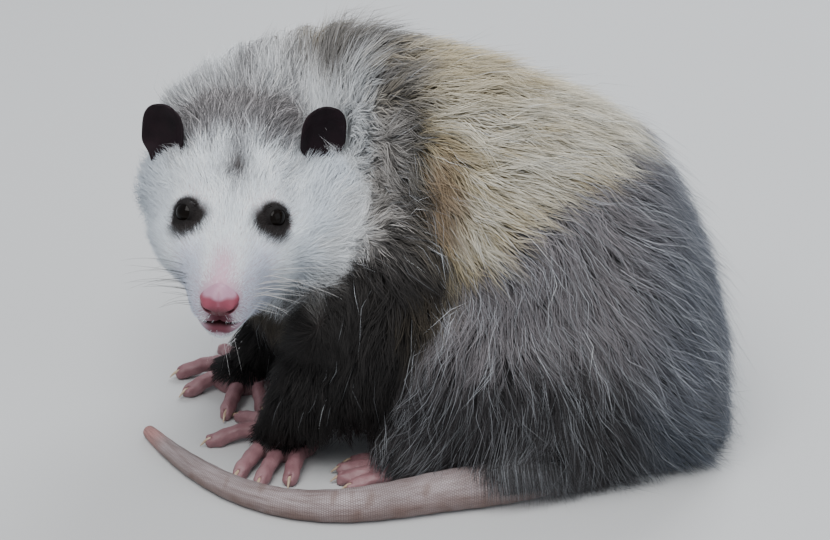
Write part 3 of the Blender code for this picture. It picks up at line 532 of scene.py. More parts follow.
def sculptFace(skin):
    co = getCo(skin.data)
    normals = getNormals(skin.data)
    back, left, up = inHead(toPlan(co))
    out = np.abs(left)
    # whisker pads, nasal ridge, the hollow beside it and the brow
    push = 1.5 * hump((back, 13, 8), (out, 9.5, 5), (up, -9, 4.5))
    push += 1.0 * hump((back, 26, 18), (left, 0, 4.5)) * ease(up, 0, 8)
    push -= 1.0 * hump((back, 40, 14), (out, 12, 5)) * ease(up, 0, 6)
    push += 1.8 * hump((back, 66, 9), (out, 19, 9)) * ease(up, 14, 22)
    # the mouth: parted a little at the front, a seam along the sides
    gap = up - mouthLine(back, left)
    front = 1 - ease(back, 9, 19)
    seam = (1 - ease(back, faceSpec["mouthBack"] - 5, faceSpec["mouthBack"])) * (up < -4)
    push -= (1.2 + 0.9 * front) * hump((gap, 0, 0.6 + 0.25 * front)) * seam
    # lips roll out beside it, the lower one fuller, with a soft chin under it
    push += 0.7 * hump((gap, 1.8, 1.1)) * seam * (0.4 + 0.6 * front)
    push += 1.2 * hump((gap, -2.6, 1.7), (left, 0, 7)) * seam * (0.3 + 0.7 * front)
    push -= 0.5 * hump((gap, -6.0, 1.3)) * front
    # the groove from the nose to the lip
    push -= 0.8 * hump((left, 0, 0.9)) * (1 - ease(back, 4, 8)) * (gap > 0)
    co = co + normals * (push * mm)[:, None]
    # the lower jaw is narrower than the upper lip and a little deeper at the chin
    jaw = ease(-gap, 0.0, 5.0) * (1 - ease(back, 14, 36))
    co = co - leftward * (left * 0.04 * jaw * mm)[:, None]
    co = co - upward * (1.2 * jaw * np.exp(-(left / 10) ** 4) * mm)[:, None]
    # lids: the skin hugs each eyeball round its opening
    for side in (-1, 1):
        centre = placePlan(eyePlan(side))
        look = eyeLook(side)
        away = co - centre
        distance = size(away) / mm
        way = unit(away)
        angle = np.degrees(np.arccos(np.clip(way @ look, -1, 1)))
        # the opening is an almond, wider than it is high
        wide = np.abs(way @ unit(offLine(leftward * side, look))) / np.maximum(np.sin(np.radians(angle)),
            1e-6)
        opening = eyeSpec["open"] * (0.86 + 0.16 * wide)
        rim = ease(angle, opening - 8, opening + 1)
        radius = eyeSpec["radius"] - faceSpec["lidDepth"] + (faceSpec["lidDepth"]
            + faceSpec["lidRim"]) * rim
        hold = (1 - ease(angle, opening + 6, faceSpec["lidFade"])) * (1 - ease(distance, 12, 18))
        wanted = distance + (radius - distance) * hold
        co = np.where((hold > 0)[:, None], centre + way * (wanted * mm)[:, None], co)
    setCo(skin.data, co)


# how the coat lies and how it is marked
def lieOfCoat(plan, normals):
    # the hair points off the nose on the face, back along the body, down the limbs, fanning on the thigh
    x, y, z = plan.T
    far = np.abs(y - bodyMiddle)
    side = ease(far, 12, 70) * (1 - 0.4 * ease(z, 120, 195))
    drop = -0.14 - 1.5 * ease(x, 40, 150) - 0.55 * side
    body = unit(np.stack([1 - 0.7 * ease(x, 95, 160), 0 * x, drop], 1))
    fan = unit(np.stack([np.clip((x - 50) / 68, -0.72, 1.15), 0 * x, -1 + 0 * x], 1))
    onThigh = haunchMask(plan, 40) * ease(far, 20, 42)
    way = unit(lay(body, fan, onThigh))
    limb = ease(-x, -16, 16) * (1 - ease(z, 90, 135)) * (1 - onThigh)
    down = unit(np.stack([-0.22 - 0.25 * (1 - ease(z, 12, 40)), 0.08 + 0 * x, -1 + 0 * x], 1))
    way = unit(lay(way, down, limb))
    onFace = faceMask(plan)
    way = unit(lay(way, unit(plan - headPlan(46, 0, 4)), ease(-x, 2, 56) * ease(z, 84, 120)))
    way = unit(lay(way, unit(plan - headPlan(-6, 0, -4)), onFace))
    for side in (-1, 1):
        # round each eye the fur parts outwards
        away = plan - eyePlan(side)
        way = unit(lay(way, unit(offLine(away, eyeLook(side))), 1 - ease(size(away), 8.0, 13.0)))
    way = unit(offLine(way, normals))
    # the fur wanders a little from its lie
    turn = (0.24 * ripple(plan, 40, 61) + 0.24 * ripple(plan, 14, 62)) * (1 - 0.7 * onFace)
    return unit(way * np.cos(turn)[:, None] + np.cross(normals, way) * np.sin(turn)[:, None])


def faceMask(plan):
    back, left, up = inHead(plan)
    return (1 - ease(back, 72, 98)) * ease(up, -56, -42) * (1 - ease(left, 40, 60)) * ease(left, -72, -60)


def ripple(plan, scale, seed):
    # cheap smooth noise from crossed waves, about -1 to 1
    dice = np.random.default_rng(seed)
    total = np.zeros(len(plan))
    for _ in range(5):
        way = unit(dice.normal(size=3))
        total += np.sin(plan @ way * (2 * math.pi / (scale * dice.uniform(0.6, 1.5)))
            + dice.uniform(0, 6.28))
    return total / 2.6


coatTones = {
    "white": tone(232, 239, 246), "ruffWhite": tone(218, 222, 226), "beige": tone(148, 145, 142),
    "charcoal": tone(46, 43, 42),
    "black": tone(22, 20, 21), "cream": tone(205, 202, 190), "creamDeep": tone(176, 160, 124),
    "rust": tone(124, 98, 68),
    "grey": tone(122, 118, 121), "underDark": tone(52, 50, 52), "blueGrey": tone(118, 127, 142),
    # throat is a tone for painted shade under the chin
    "throat": tone(78, 72, 64),
    "straw": tone(80, 71, 56), "pink": tone(196, 170, 186), "guard": tone(218, 223, 230),
    "crown": tone(74, 68, 68),
    # cheekShade and muzzleShade are tones for painted shade on the white face
    "eyePatch": tone(30, 24, 24), "cheekShade": tone(188, 200, 214), "muzzleShade": tone(184, 190, 216),
}
# borders of the markings in sideView's frame: rows down it, and where along each the border is
viewSpec = {"col": 415, "row": 270, "aim": 96, "distance": 1200, "focal": 2400, "cos": 0.891, "sin": 0.454}
markingSpec = {
    "haunchRows": (95, 120, 150, 185, 215, 245, 262, 290, 340, 400, 440, 470),
    "haunchEdge": (716, 684, 648, 604, 562, 520, 500, 468, 436, 400, 382, 374),
    "bandLeftRows": (60, 110, 200, 248, 270, 296, 334, 360, 392, 424, 455),
    "bandLeftEdge": (410, 405, 404, 394, 368, 342, 312, 296, 280, 268, 258),
    "bandRightRows": (60, 110, 200, 248, 270, 296, 334, 360, 392, 424, 455),
    "bandRightEdge": (426, 430, 440, 450, 450, 446, 436, 424, 410, 396, 388),
    "faceRows": (150, 176, 200, 236, 269, 306, 332, 348),
    "faceEdge": (140, 121, 109, 92, 80, 55, 36, 16), "faceMiddle": 231,
    "maneRows": (190, 215, 240, 270, 300, 320, 345, 370),
    "maneEdge": (420, 402, 390, 362, 322, 284, 252, 244),
}


def sideView(plan):
    # where a point shows from the animal's side, with the far side folded over to the near one
    x, y, z = plan.T
    near = bodyMiddle - np.abs(y - bodyMiddle)
    z = z - viewSpec["aim"]
    rise = z * viewSpec["cos"] + near * viewSpec["sin"]
    scale = viewSpec["focal"] / (viewSpec["distance"] + near * viewSpec["cos"] - z * viewSpec["sin"])
    return viewSpec["col"] + x * scale, viewSpec["row"] - rise * scale


def border(name, row):
    # where along each row a marking's border is
    return np.interp(row, markingSpec[name + "Rows"], markingSpec[name + "Edge"])


def blob(col, row, at, radii):
    away = np.sqrt(((col - at[0]) / radii[0]) ** 2 + ((row - at[1]) / radii[1]) ** 2)
    return 1 - ease(away, 0.5, 1.5)


def haunchMask(plan, soft, col=None, row=None):
    if col is None:
        col, row = sideView(plan)
    return ease(col - border("haunch", row), -soft, soft)


def coatMarkings(plan):
    # root tone, tip tone, share of long pale guard hairs and how mixed the hairs are, for every point
    warp = np.stack([ripple(plan, 34, 3), ripple(plan, 30, 4)], 1)
    fine = np.stack([ripple(plan, 9, 5), ripple(plan, 8, 6)], 1)
    col, row = sideView(plan)
    col = col + 6 * warp[:, 0] + 4 * fine[:, 0]
    row = row + 6 * warp[:, 1] + 4 * fine[:, 1]
    x, y, z = plan.T
    back, left, up = inHead(plan)
    out = np.abs(left)
    tones = {
        "tip": np.tile(coatTones["cream"], (len(plan), 1)),
        "root": np.tile(coatTones["creamDeep"] * 0.62, (len(plan), 1)),
    }

    def stain(name, mask, tip=None, root=None):
        # lays a tone on tips and roots by a mask; each says how bright the tone is and how much it covers
        for end, says in (("tip", tip), ("root", root)):
            if says:
                bright, cover = says
                colour = coatTones[name] * np.reshape(bright, (-1, 1))
                tones[end] = lay(tones[end], colour, cover * mask)

    # deeper cream in drifts and low down, a rusty stain behind the shoulder
    drift = ripple(plan, 40, 8) + 0.8 * fine[:, 0] + 0.9 * ease(row, 180, 300)
    stain("creamDeep", ease(drift, 0.0, 1.2), (1, 0.75), (0.6, 0.5))
    stain("creamDeep", ease(ripple(plan * np.array((0.4, 1, 1)), 12, 9), 0.2, 1.4), (0.75, 0.35))
    # painted shade: the cream is darker along the top of the back
    stain("creamDeep", 1 - ease(row, 60, 130), (0.9, 0.75))
    stain("straw", ease(row, 244, 296), (1, 0.9), (0.5, 0.9))
    stain("rust", blob(col, row, (450, 200), (20, 48)), (1, 0.8), (0.6, 0.8))
    # grizzled nape, paler towards the saddle and where it meets the cheek
    nape = 1 - ease(col, 396, 444)
    stain("beige", nape, (1, 1), (0.66, 1))
    stain("beige", nape * ease(fine[:, 0] + warp[:, 1], 0.1, 1.6), (0.5, 0.7))
    # painted shade along the nape's crest, darker towards its top
    stain("beige", nape * (1 - ease(row, 92, 150)), (0.48, 0.9), (0.3, 0.8))
    fawn = nape * ease(warp[:, 0] - fine[:, 1], 0.2, 1.6) * (1 - ease(row, 110, 170))
    stain("creamDeep", fawn, (0.7, 0.55))
    mane = 1 - ease(col - border("mane", row), -10, 8) * ease(row, 190, 215)
    ruff = nape * ease(row, 96, 130) * mane * ease(-x, -14, 10)
    # painted shade: the ruff is painted darker lower down, under the head
    dim = 1 - 0.6 * ease(row, 232, 308)
    stain("beige", ruff, (1.5 * dim, 1), (1.1 * dim, 0.8))
    behind = (1 - ease(np.abs(back - 104), 10, 24)) * (1 - ease(np.abs(out - 52), 8, 22)) * ease(up, -20, 0)
    cheek = np.clip(ruff * (1 - ease(col, 350, 392)) + behind, 0, 1) * mane
    # painted shade: the white by the cheek is painted darker lower down, under the head
    dusk = 1 - 0.70 * ease(row, 236, 308)
    stain("ruffWhite", cheek, (dusk, 1), (0.75 * dusk, 1))
    guard = 0.2 * (1 - 0.6 * nape)
    mixed = 0.15 + 0.09 * nape - 0.08 * ruff - 0.06 * cheek
    # the dark band behind the neck, widening into the shoulder and foreleg
    low = ease(row, 230, 300)
    inside = ease(col - border("bandLeft", row), -12, 10) * ease(border("bandRight", row) - col, -10, 8)
    inside = np.maximum(inside, (1 - mane) * (1 - ease(col, 420, 450)))
    band = inside * (0.68 * ease(row, 84, 116) + 0.2 * ease(row, 170, 225) + 0.12 * low)
    stain("charcoal", band, (1.3 - 0.75 * low, 1), (0.6, 1))
    mixed = mixed + 0.16 * band * (1 - low)
    guard = guard * (1 - inside * low) + 0.2 * band * (1 - low)
    # grey haunch and rump, dark low down, bluer to the back
    haunch = haunchMask(plan, 15, col, row)
    stain("grey", haunch, tip=(1 + 0.16 * warp[:, 0] + 0.08 * fine[:, 1], 1))
    stain("underDark", haunch, root=(1.5, 1))
    guard = guard * (1 - haunch) + 0.85 * haunch
    low = haunch * np.clip(ease(row, 335, 400) * (1 - ease(col, 600, 680)) + ease(row, 380, 430), 0, 1)
    stain("grey", low, tip=(0.15, 0.92))
    stain("underDark", low, root=(0.3, 1))
    stain("blueGrey", haunch * ease(col, 600, 690), (0.52, 0.85))
    mixed = mixed + 0.05 * haunch
    # painted shade in the gap between foreleg and thigh: a dull straw patch
    stain("straw", blob(col, row, (424, 352), (20, 52)) * (1 - haunch), (0.7, 0.6), (0.3, 0.6))
    # forelegs and shoulder front, and painted shade on the throat under the chin
    fore = ease(-x, -18, 6) * (1 - ease(z, 66, 96)) * (1 - haunch)
    stain("charcoal", fore, tip=(0.55, 1))
    stain("black", fore, root=(0.8, 1))
    guard = guard * (1 - fore)
    stain("throat", ease(hump((x, -62, 28), (y, 6, 24), (z, 74, 17)), 0.15, 0.6), (1, 1), (0.45, 1))
    # the white face, with painted shade on the cheeks, deeper on the animal's right, and on the muzzle's
    # sides
    face = (1 - ease(back, 92, 112)) * ease(up, -56, -44) * (1 - ease(left, 50, 64)) * mane
    past = np.abs(col - markingSpec["faceMiddle"]) - border("face", row)
    face = face * (1 - ease(past, -14, 12) * ease(back, 20, 40))
    stain("white", face, (1, 1), (0.80, 1))
    sideways = face * ease(out, 22, 44) * (1 - 0.5 * ease(up, 0, 30))
    stain("cheekShade", sideways, (1, 0.75))
    stain("cheekShade", sideways * ease(-left, 10, 40), (0.72, 0.6))
    muzzle = ease(out, 6, 12) * (1 - ease(out, 18, 30)) * (1 - ease(back, 40, 56))
    muzzle = muzzle * (1 - ease(up, 2, 12)) * ease(up, -44, -36)
    stain("muzzleShade", muzzle, (1, 0.55), (0.8, 0.55))
    guard = guard * (1 - face)
    mixed = mixed * (1 - face) + 0.06 * face
    # dark crown, running down the forehead to a small spot
    crown = ease(back + 4 * fine[:, 0], 80, 96) * (1 - ease(back, 122, 150))
    crown = crown * (1 - ease(np.abs(left + 3), 26, 42)) * ease(up, 12, 24)
    streak = hump((left, 1, 7)) * ease(back, 64, 84) * ease(up, 12, 22) * 0.72
    spot = hump((left + fine[:, 1], 1.5, 7), (back + fine[:, 0], 75, 9)) * ease(up, 8, 16)
    dark = np.clip(np.maximum.reduce((crown * 0.9, streak, spot)), 0, 1)
    stain("crown", dark, (1.35 - 0.55 * spot, 0.95), (0.6, 1))
    mixed = mixed + 0.42 * np.maximum.reduce((crown, 0.7 * streak, 0.6 * spot))
    # dark fur round the eyes, deeper towards the nose and below
    for side in (-1, 1):
        away = plan - eyePlan(side)
        lower = away + leftward * side * 4.8 + np.array((0, 0.454, 0.891)) * 3.2
        aside, spread = (size(offLine(v, eyeLook(side))) for v in (away, lower))
        shade = np.maximum(1 - ease(aside, 6.6, 10.2), 1 - ease(spread, 5.8, 11.6)) * (size(away) < 22)
        stain("eyePatch", shade, (1, 1), (0.5, 1))
        mixed = mixed + 0.06 * shade
    # a pink flush along the muzzle's ridge
    ridge = hump((left, 0, 5.5)) * (1 - ease(back, 14, 40)) * ease(up, -2, 5)
    stain("pink", ridge, (1, 0.7), (0.9, 0.8))
    return tones["root"], tones["tip"], guard, mixed


# each ear's foot and top on the head, and its cup
earSpec = {
    "left": ((96, 41.6, 24.5), (99.5, 42.5, 48)), "right": ((94.5, -38, 21.5), (98, -37, 45)),
    "length": 24, "width": 24, "thick": 1.2, "cup": 5.5, "fullness": 3.0, "foot": -0.32, "shoulder": 0.6,
    "rows": 26, "topRows": 12, "columns": 21,
}


def earLine(name):
    return (headPlan(*place) for place in earSpec[name])


def coatLength(plan):
    # length of the cover hair in mm
    x, y, z = plan.T
    back, left, up = inHead(plan)
    length = 25 + 5 * ease(x, 40, 120)
    length = length - 11 * ease(-x, -10, 40) * (1 - ease(z, 75, 120))
    length = length * (0.45 + 0.55 * ease(z, 6, 34)) + 15 * ease(x, 0, 40) * (1 - ease(z, 30, 62))
    neck = ease(-x, 4, 56) * ease(z, 90, 120)
    length = length + (19 - length) * neck
    face = (1 - ease(back, 70, 116)) * ease(up, -64, -50) * (1 - ease(left, 46, 74))
    short = 2.3 + 3.0 * ease(back, 12, 42) + 4.5 * ease(back, 50, 96)
    short = short + 6.5 * ease(np.abs(left), 18, 42) * ease(back, 24, 50)
    short = short + 6.5 * ease(-up, 8, 28) * ease(back, 14, 36)
    for side in (-1, 1):
        short = short * (0.28 + 0.72 * ease(size(plan - eyePlan(side)), 7.5, 19))
    length = length + (short - length) * face
    # kept low before the open side of each ear
    for name, side in leftRight:
        root, top = earLine(name)
        away = plan - (root + (top - root) * 0.4) - ahead * 5 - leftward * side * 4
        length = length * (0.24 + 0.76 * ease(size(away), 12, 24))
    return length


def coatLift(plan):
    # how far the coat stands off: fluffed at the nape and along the back's outline, close on the limbs
    x, y, z = plan.T
    nape = ease(-x, 0, 50) * ease(z, 110, 150)
    lift = 0.96 + 0.02 * nape - 0.04 * ease(z, 150, 190) - 0.25 * ease(y, 66, 100)
    return lift * (1 + 0.26 * ripple(plan, 11, 71) + 0.16 * ripple(plan, 6, 72))


print("settings read")
skin = makeSkin()
print("skin", len(skin.data.polygons))


# tufts
def nearestOnSkin(places):
    found = np.empty((2, len(places), 3))
    for i, place in enumerate(places):
        found[:, i] = skinData["tree"].find_nearest(place)[:2]
    return found


def triangles(mesh):
    mesh.calc_loop_triangles()
    corners = np.empty(len(mesh.loop_triangles) * 3, np.int32)
    mesh.loop_triangles.foreach_get("vertices", corners)
    return corners.reshape(-1, 3)


def treeOf(co, corners):
    return BVHTree.FromPolygons([tuple(v) for v in co], [tuple(int(i) for i in f) for f in corners])


def scatterRoots(count, density, dice):
    # random places on the skin, as many as asked, thicker where density says
    co, normals, corners = skinData["co"], skinData["normals"], skinData["corners"]
    a, b, c = (co[corners[:, i]] for i in range(3))
    facing = np.cross(b - a, c - a)
    weight = size(facing) / 2 * density(toPlan((a + b + c) / 3), unit(facing))
    pick = dice.choice(len(corners), count, p=weight / weight.sum())
    u, v = np.sqrt(dice.random(count))[:, None], dice.random(count)[:, None]
    shares = (1 - u, u * (1 - v), u * v)
    place, normal = (sum(share * of[corners[pick, i]] for i, share in enumerate(shares))
        for of in (co, normals))
    return place, unit(normal)


def combed(places, normals, ways, lengths, heights, hang):
    # paths that follow the skin at the heights asked, or hang free of it where hang is 1
    steps = len(heights) - 1
    paths = np.empty((len(places), steps + 1, 3))
    outs = np.empty_like(paths)
    here, out, way = places, normals, ways
    fall = unit(ways + np.array((0, 0, -0.5)) * hang[:, None])
    for i in range(steps + 1):
        share = i / steps
        hug = here + out * heights[i][:, None]
        free = places + fall * (lengths * share)[:, None] + normals * heights[i][:, None]
        paths[:, i] = hug + (free - hug) * hang[:, None]
        outs[:, i] = unit(out + (normals - out) * hang[:, None])
        if i < steps:
            way = way + np.array((0, 0, coatSpec["sag"]))
            way = unit(way - out * np.sum(way * out, 1)[:, None] * coatSpec["hug"])
            here, out = nearestOnSkin(here + way * (lengths / steps)[:, None])
    return paths, outs


tuftSpec = {"under": 0.28, "ridge": 0.62, "coatShade": 0.8, "ownShade": 0.4, "patch": 0.003}


def tuftMesh(name, paths, outs, widths, taper, rootColour, tipColour, colourShift, rootUv):
    # every tuft is a closed three-sided blade: rings of three, then a point
    count, rings = len(paths), paths.shape[1] - 1
    along = np.empty_like(paths)
    along[:, 1:-1] = paths[:, 2:] - paths[:, :-2]
    along[:, 0] = paths[:, 1] - paths[:, 0]
    along[:, -1] = paths[:, -1] - paths[:, -2]
    along = unit(along)
    side = unit(np.cross(along, outs))
    top = unit(np.cross(side, along))
    perTuft = rings * 3 + 1
    verts = np.empty((count, perTuft, 3))
    soft = np.empty_like(verts)
    for i in range(rings):
        w = (widths * taper[i] / 2)[:, None]
        edges = ((-1, -tuftSpec["under"]), (1, -tuftSpec["under"]), (0, tuftSpec["ridge"]))
        for j, (aside, above) in enumerate(edges):
            verts[:, i * 3 + j] = paths[:, i] + side[:, i] * w * aside + top[:, i] * w * above
            # each tuft is shaded mostly as the coat under it faces, which keeps the fur soft
            own = side[:, i] * aside + top[:, i] * (-0.3 if aside else 1)
            soft[:, i * 3 + j] = outs[:, i] * tuftSpec["coatShade"] + own * tuftSpec["ownShade"]
    verts[:, -1] = paths[:, -1]
    soft[:, -1] = outs[:, -1]
    pairs = ((0, 1), (1, 2), (2, 0))
    last = rings * 3 - 3
    tris = [(0, 1, 2)]
    for low in range(0, last, 3):
        for j, k in pairs:
            tris += [(low + j, low + 3 + k, low + k), (low + j, low + 3 + j, low + 3 + k)]
    tris += [(last + j, last + 3, last + k) for j, k in pairs]
    faces = (np.arange(count)[:, None, None] * perTuft + np.array(tris)[None]).reshape(-1,
        3).astype(np.int32)
    mesh = bpy.data.meshes.new(name)
    mesh.vertices.add(count * perTuft)
    mesh.vertices.foreach_set("co", verts.ravel())
    mesh.loops.add(faces.size)
    mesh.loops.foreach_set("vertex_index", faces.ravel())
    mesh.polygons.add(len(faces))
    mesh.polygons.foreach_set("loop_start", np.arange(0, faces.size, 3, dtype=np.int32))
    mesh.update(calc_edges=True)
    share = np.append(np.repeat(np.arange(rings), 3) / rings, 1.0)
    grade = (share ** colourShift)[None, :, None]
    colour = rootColour[:, None] + (tipColour - rootColour)[:, None] * grade
    paintPoints(mesh, "coatTone", colour.reshape(-1, 3))
    # each tuft's own small patch at its root's place on the skin's unwrap
    across = np.append(np.tile((0.0, 1.0, 0.5), rings), 0.5)
    uv = rootUv[:, None] + (np.stack([across, share], 1) - 0.5)[None] * tuftSpec["patch"]
    layer = mesh.uv_layers.new(name="OFBake")
    layer.data.foreach_set("uv", uv.reshape(-1, 2)[faces.ravel()].astype(np.float32).ravel())
    mesh.shade_smooth()
    mesh.normals_split_custom_set_from_vertices(unit(soft).reshape(-1, 3))
    made = bpy.data.objects.new(name, mesh)
    bpy.context.scene.collection.objects.link(made)
    return made


def unwrapGuide(skin):
    # a light copy of the skin, unwrapped, to read each root's place on the unwrap from
    guide = skin.copy()
    guide.data = skin.data.copy()
    bpy.context.scene.collection.objects.link(guide)
    applyModifier(guide, "DECIMATE", ratio=skinSpec["guideFaces"] / (2 * len(skin.data.polygons)))
    unwrap = {"angle_limit": math.radians(75), "island_margin": 0.004}
    editAll(guide, (bpy.ops.mesh.quads_convert_to_tris, {}), (bpy.ops.uv.smart_project, unwrap))
    mesh = guide.data
    uv = np.empty(len(mesh.loops) * 2)
    mesh.uv_layers.active.data.foreach_get("uv", uv)
    co, corners = getCo(mesh), triangles(mesh)
    bpy.data.objects.remove(guide)
    return {"uv": uv.reshape(-1, 3, 2), "corners": corners, "co": co, "tree": treeOf(co, corners)}


def rootUvs(places):
    # each root's place inside its triangle of the guide, carried over to that triangle on the unwrap
    guide = skinData["guide"]
    index = np.empty(len(places), int)
    at = np.empty((len(places), 3))
    for i, place in enumerate(places):
        at[i], _, index[i], _ = guide["tree"].find_nearest(place)
    a, b, c = (guide["co"][guide["corners"][index, k]] for k in range(3))
    e0, e1, e2 = b - a, c - a, at - a
    d00, d01, d11, d20, d21 = (np.sum(p * q, 1) for p,
        q in ((e0, e0), (e0, e1), (e1, e1), (e2, e0), (e2, e1)))
    bottom = np.maximum(d00 * d11 - d01 * d01, 1e-18)
    v, w = (d11 * d20 - d01 * d21) / bottom, (d00 * d21 - d01 * d20) / bottom
    return np.sum(guide["uv"][index] * np.stack([1 - v - w, v, w], 1)[:, :, None], 1)


tailSpec = {
    "line": (
        (118, 2, 12.6), (104, -22, 12.3), (84, -41, 12.0), (60, -55, 11.5), (37, -63, 10.9),
        (12, -69, 10.2), (-12, -75.5, 9.2),
        (-36.5, -79, 8.3), (-61, -75.6, 7.3), (-86.4, -63, 6.6), (-107.7, -43.5, 5.9), (-124.7, -21.8, 4.7),
        (-137, -2.3, 3.5),
    ),
    "rings": 300, "sides": 36, "scale": 1.15, "fineSteps": 900, "sit": 0.88, "floorGap": 0.25,
    "wrapLength": 20,
}
coatSpec = {
    "under": {"count": 36000, "width": 0.80, "rings": 3, "reach": 0.70, "rise": (-0.5, 3.2, 6.0),
    "seed": 21},
    "cover": {"count": 45000, "width": 0.42, "rings": 3, "reach": 1.0, "rise": (-0.5, 6.0, 10.0),
    "seed": 22},
    "guard": {"count": 14000, "width": 0.20, "rings": 3, "reach": 1.1, "rise": (-0.5, 7.5, 12.0),
    "seed": 23},
    "skirt": {"count": 8000, "width": 0.32, "rings": 4, "reach": 1.0, "seed": 26},
    "ruff": {"count": 29000, "width": 0.30, "rings": 3, "reach": 1.15, "rise": (-0.3, 0.26, 0.42),
    "seed": 25},
    "face": {"count": 36000, "width": 0.30, "rings": 2, "reach": 1.0, "rise": (-0.2, 0.3), "seed": 24},
    "ceiling": 219.5, "ceilingPull": 0.55, "clumps": 3200, "clumpPull": 0.62, "sag": -0.06, "hug": 0.9,
    "room": 190000, "quickShare": 0.35, "colourAt": 0.55,
}
noseSpec = {"width": 9.4, "height": 8.2, "depth": 6.6, "back": 2.4, "up": -1.3}


def onHead(plan, start, end):
    back, left, up = inHead(plan)
    return (1 - ease(back, start, end)) * ease(up, -58, -44) * (1 - ease(left, 44, 64)) * ease(left, -74,
        -62)


def coatGround(plan, normal):
    # where long hair grows: not on face, nose or soles
    ok = 1 - onHead(plan, 84, 118)
    return ok * (0.18 + 0.82 * ease(normal[:, 2], -0.75, -0.3)) * ease(plan[:, 2], 1.5, 5)


def clearOfEyes(plan):
    ok = np.ones(len(plan))
    for side in (-1, 1):
        away = plan - eyePlan(side)
        angle = np.degrees(np.arccos(np.clip(unit(away) @ eyeLook(side), -1, 1)))
        ok = ok * (1 - (1 - ease(angle, eyeSpec["open"] + 4, eyeSpec["open"] + 9)) * (size(away) < 12))
    return ok


def faceGround(plan, normal):
    # short straight hair, thickest on the muzzle, none on lips and the groove under the nose
    back, left, up = inHead(plan)
    out = np.abs(left)
    padAway = np.sqrt((left / noseSpec["width"]) ** 2 + ((up - noseSpec["up"]) / noseSpec["height"]) ** 2)
    start = np.maximum(ease(back, 4.5, 11), ease(back, 0.5, 3) * ease(padAway, 0.95, 1.15) * (up < 0))
    ok = onHead(plan, 54, 86) * start * clearOfEyes(plan)
    ridge = hump((left, 0, 5)) * (1 - ease(back, 12, 34)) * (up > 0)
    gap = up - mouthLine(back, left)
    lips = ease(gap, -8 + 0.35 * out, -5.5 + 0.35 * out) * (1 - ease(gap, 0.8, 2.2))
    lips = lips * (1 - ease(back, 9, 15)) * (1 - ease(out, 4, 8) * (gap > 0))
    groove = np.exp(-(left / 6.4) ** 4) * (gap > -2) * (up < noseSpec["up"]) * (1 - ease(back, 8, 12))
    bare = 1 - 0.98 * np.maximum(lips, groove)
    return ok * (1 - 0.75 * ridge) * bare * (1 + 0.9 * (1 - ease(back, 20, 50)))


def ruffGround(plan, normal):
    # fine middling hair on forehead, cheeks, crown and the front of the neck
    ok = ease(inHead(plan)[0], 34, 58) * onHead(plan, 116, 142) * clearOfEyes(plan)
    return ok * (0.3 + 0.7 * ease(normal[:, 2], -0.85, -0.4))


def earForward(side):
    return unit(ahead * 0.86 + leftward * side * 0.42 + upward * 0.1)


def clearOfEars(paths):
    # no hair stands before an ear's open side, except the fluff at its foot
    flat = toPlan(paths.reshape(-1, 3))
    hit = np.zeros(len(flat), bool)
    for name, side in leftRight:
        root, top = earLine(name)
        along = unit(top - root)
        forward = earForward(side)
        away = flat - root
        high, aside = away @ along, np.abs(away @ unit(np.cross(along, forward)))
        front = away @ offLine(forward, along)
        hit |= (aside < 13) & (high > 5.5) & (high < 27) & (front > -4) & (front < 16)
    return ~hit.reshape(paths.shape[:2]).any(axis=1)


def straightHair(place, normal, way, length, dice):
    # short face hair, standing off more on the cheeks
    back, left, up = inHead(toPlan(place))
    count = len(place)
    stand = 0.9 * np.maximum(ease(np.abs(left), 22, 42), ease(-up, 10, 26)) * ease(back, 18, 36)
    lift = dice.uniform(0.16, 0.34, count) + stand * dice.uniform(0.3, 1.0, count)
    lean = unit(way + normal * lift[:, None])
    paths = np.stack([place - normal * 0.2 * mm, place + lean * length[:, None]], 1)
    return paths, np.stack([normal, normal], 1)


def bentHair(kind, place, normal, way, length, dice):
    # hair that follows the skin, sways and waves, and gathers in clumps
    spec = coatSpec[kind]
    plan = toPlan(place)
    count = len(place)
    across = np.cross(normal, way)
    lift = coatLift(plan) * (0.35 + 0.65 * skinDepth(plan) / skinSpec["bodyDepth"])
    if kind == "ruff":
        # short hair stands off in proportion to its length
        stand = dice.uniform(0.7, 1.3, count) * (1 + 0.7 * ease(np.abs(inHead(plan)[1]), 28, 48))
        rise = [np.where(h > 0, length * h * stand, h * mm) for h in spec["rise"]]
    else:
        spread = dice.uniform(*((0.65, 1.75) if kind == "guard" else (0.8, 1.2)), count)
        rise = [h * mm * (lift * spread if h > 0 else np.ones(count)) for h in spec["rise"]]
    paths, outs = combed(place, normal, way, length, rise, skirtHang(plan))
    along = np.linspace(0, 1, spec["rings"])
    sway = dice.normal(0, 0.08, count) * length
    # a loose wave that neighbours share
    wave = (0.11 * ripple(plan, 10, 81) + dice.normal(0, 0.03, count)) * length
    aside = sway[:, None] * along[None] ** 2 + wave[:, None] * np.sin(along * 4.4)[None]
    paths = paths + across[:, None] * aside[:, :, None]
    return clearTail(gatherClumps(paths, place, kind, dice)), outs


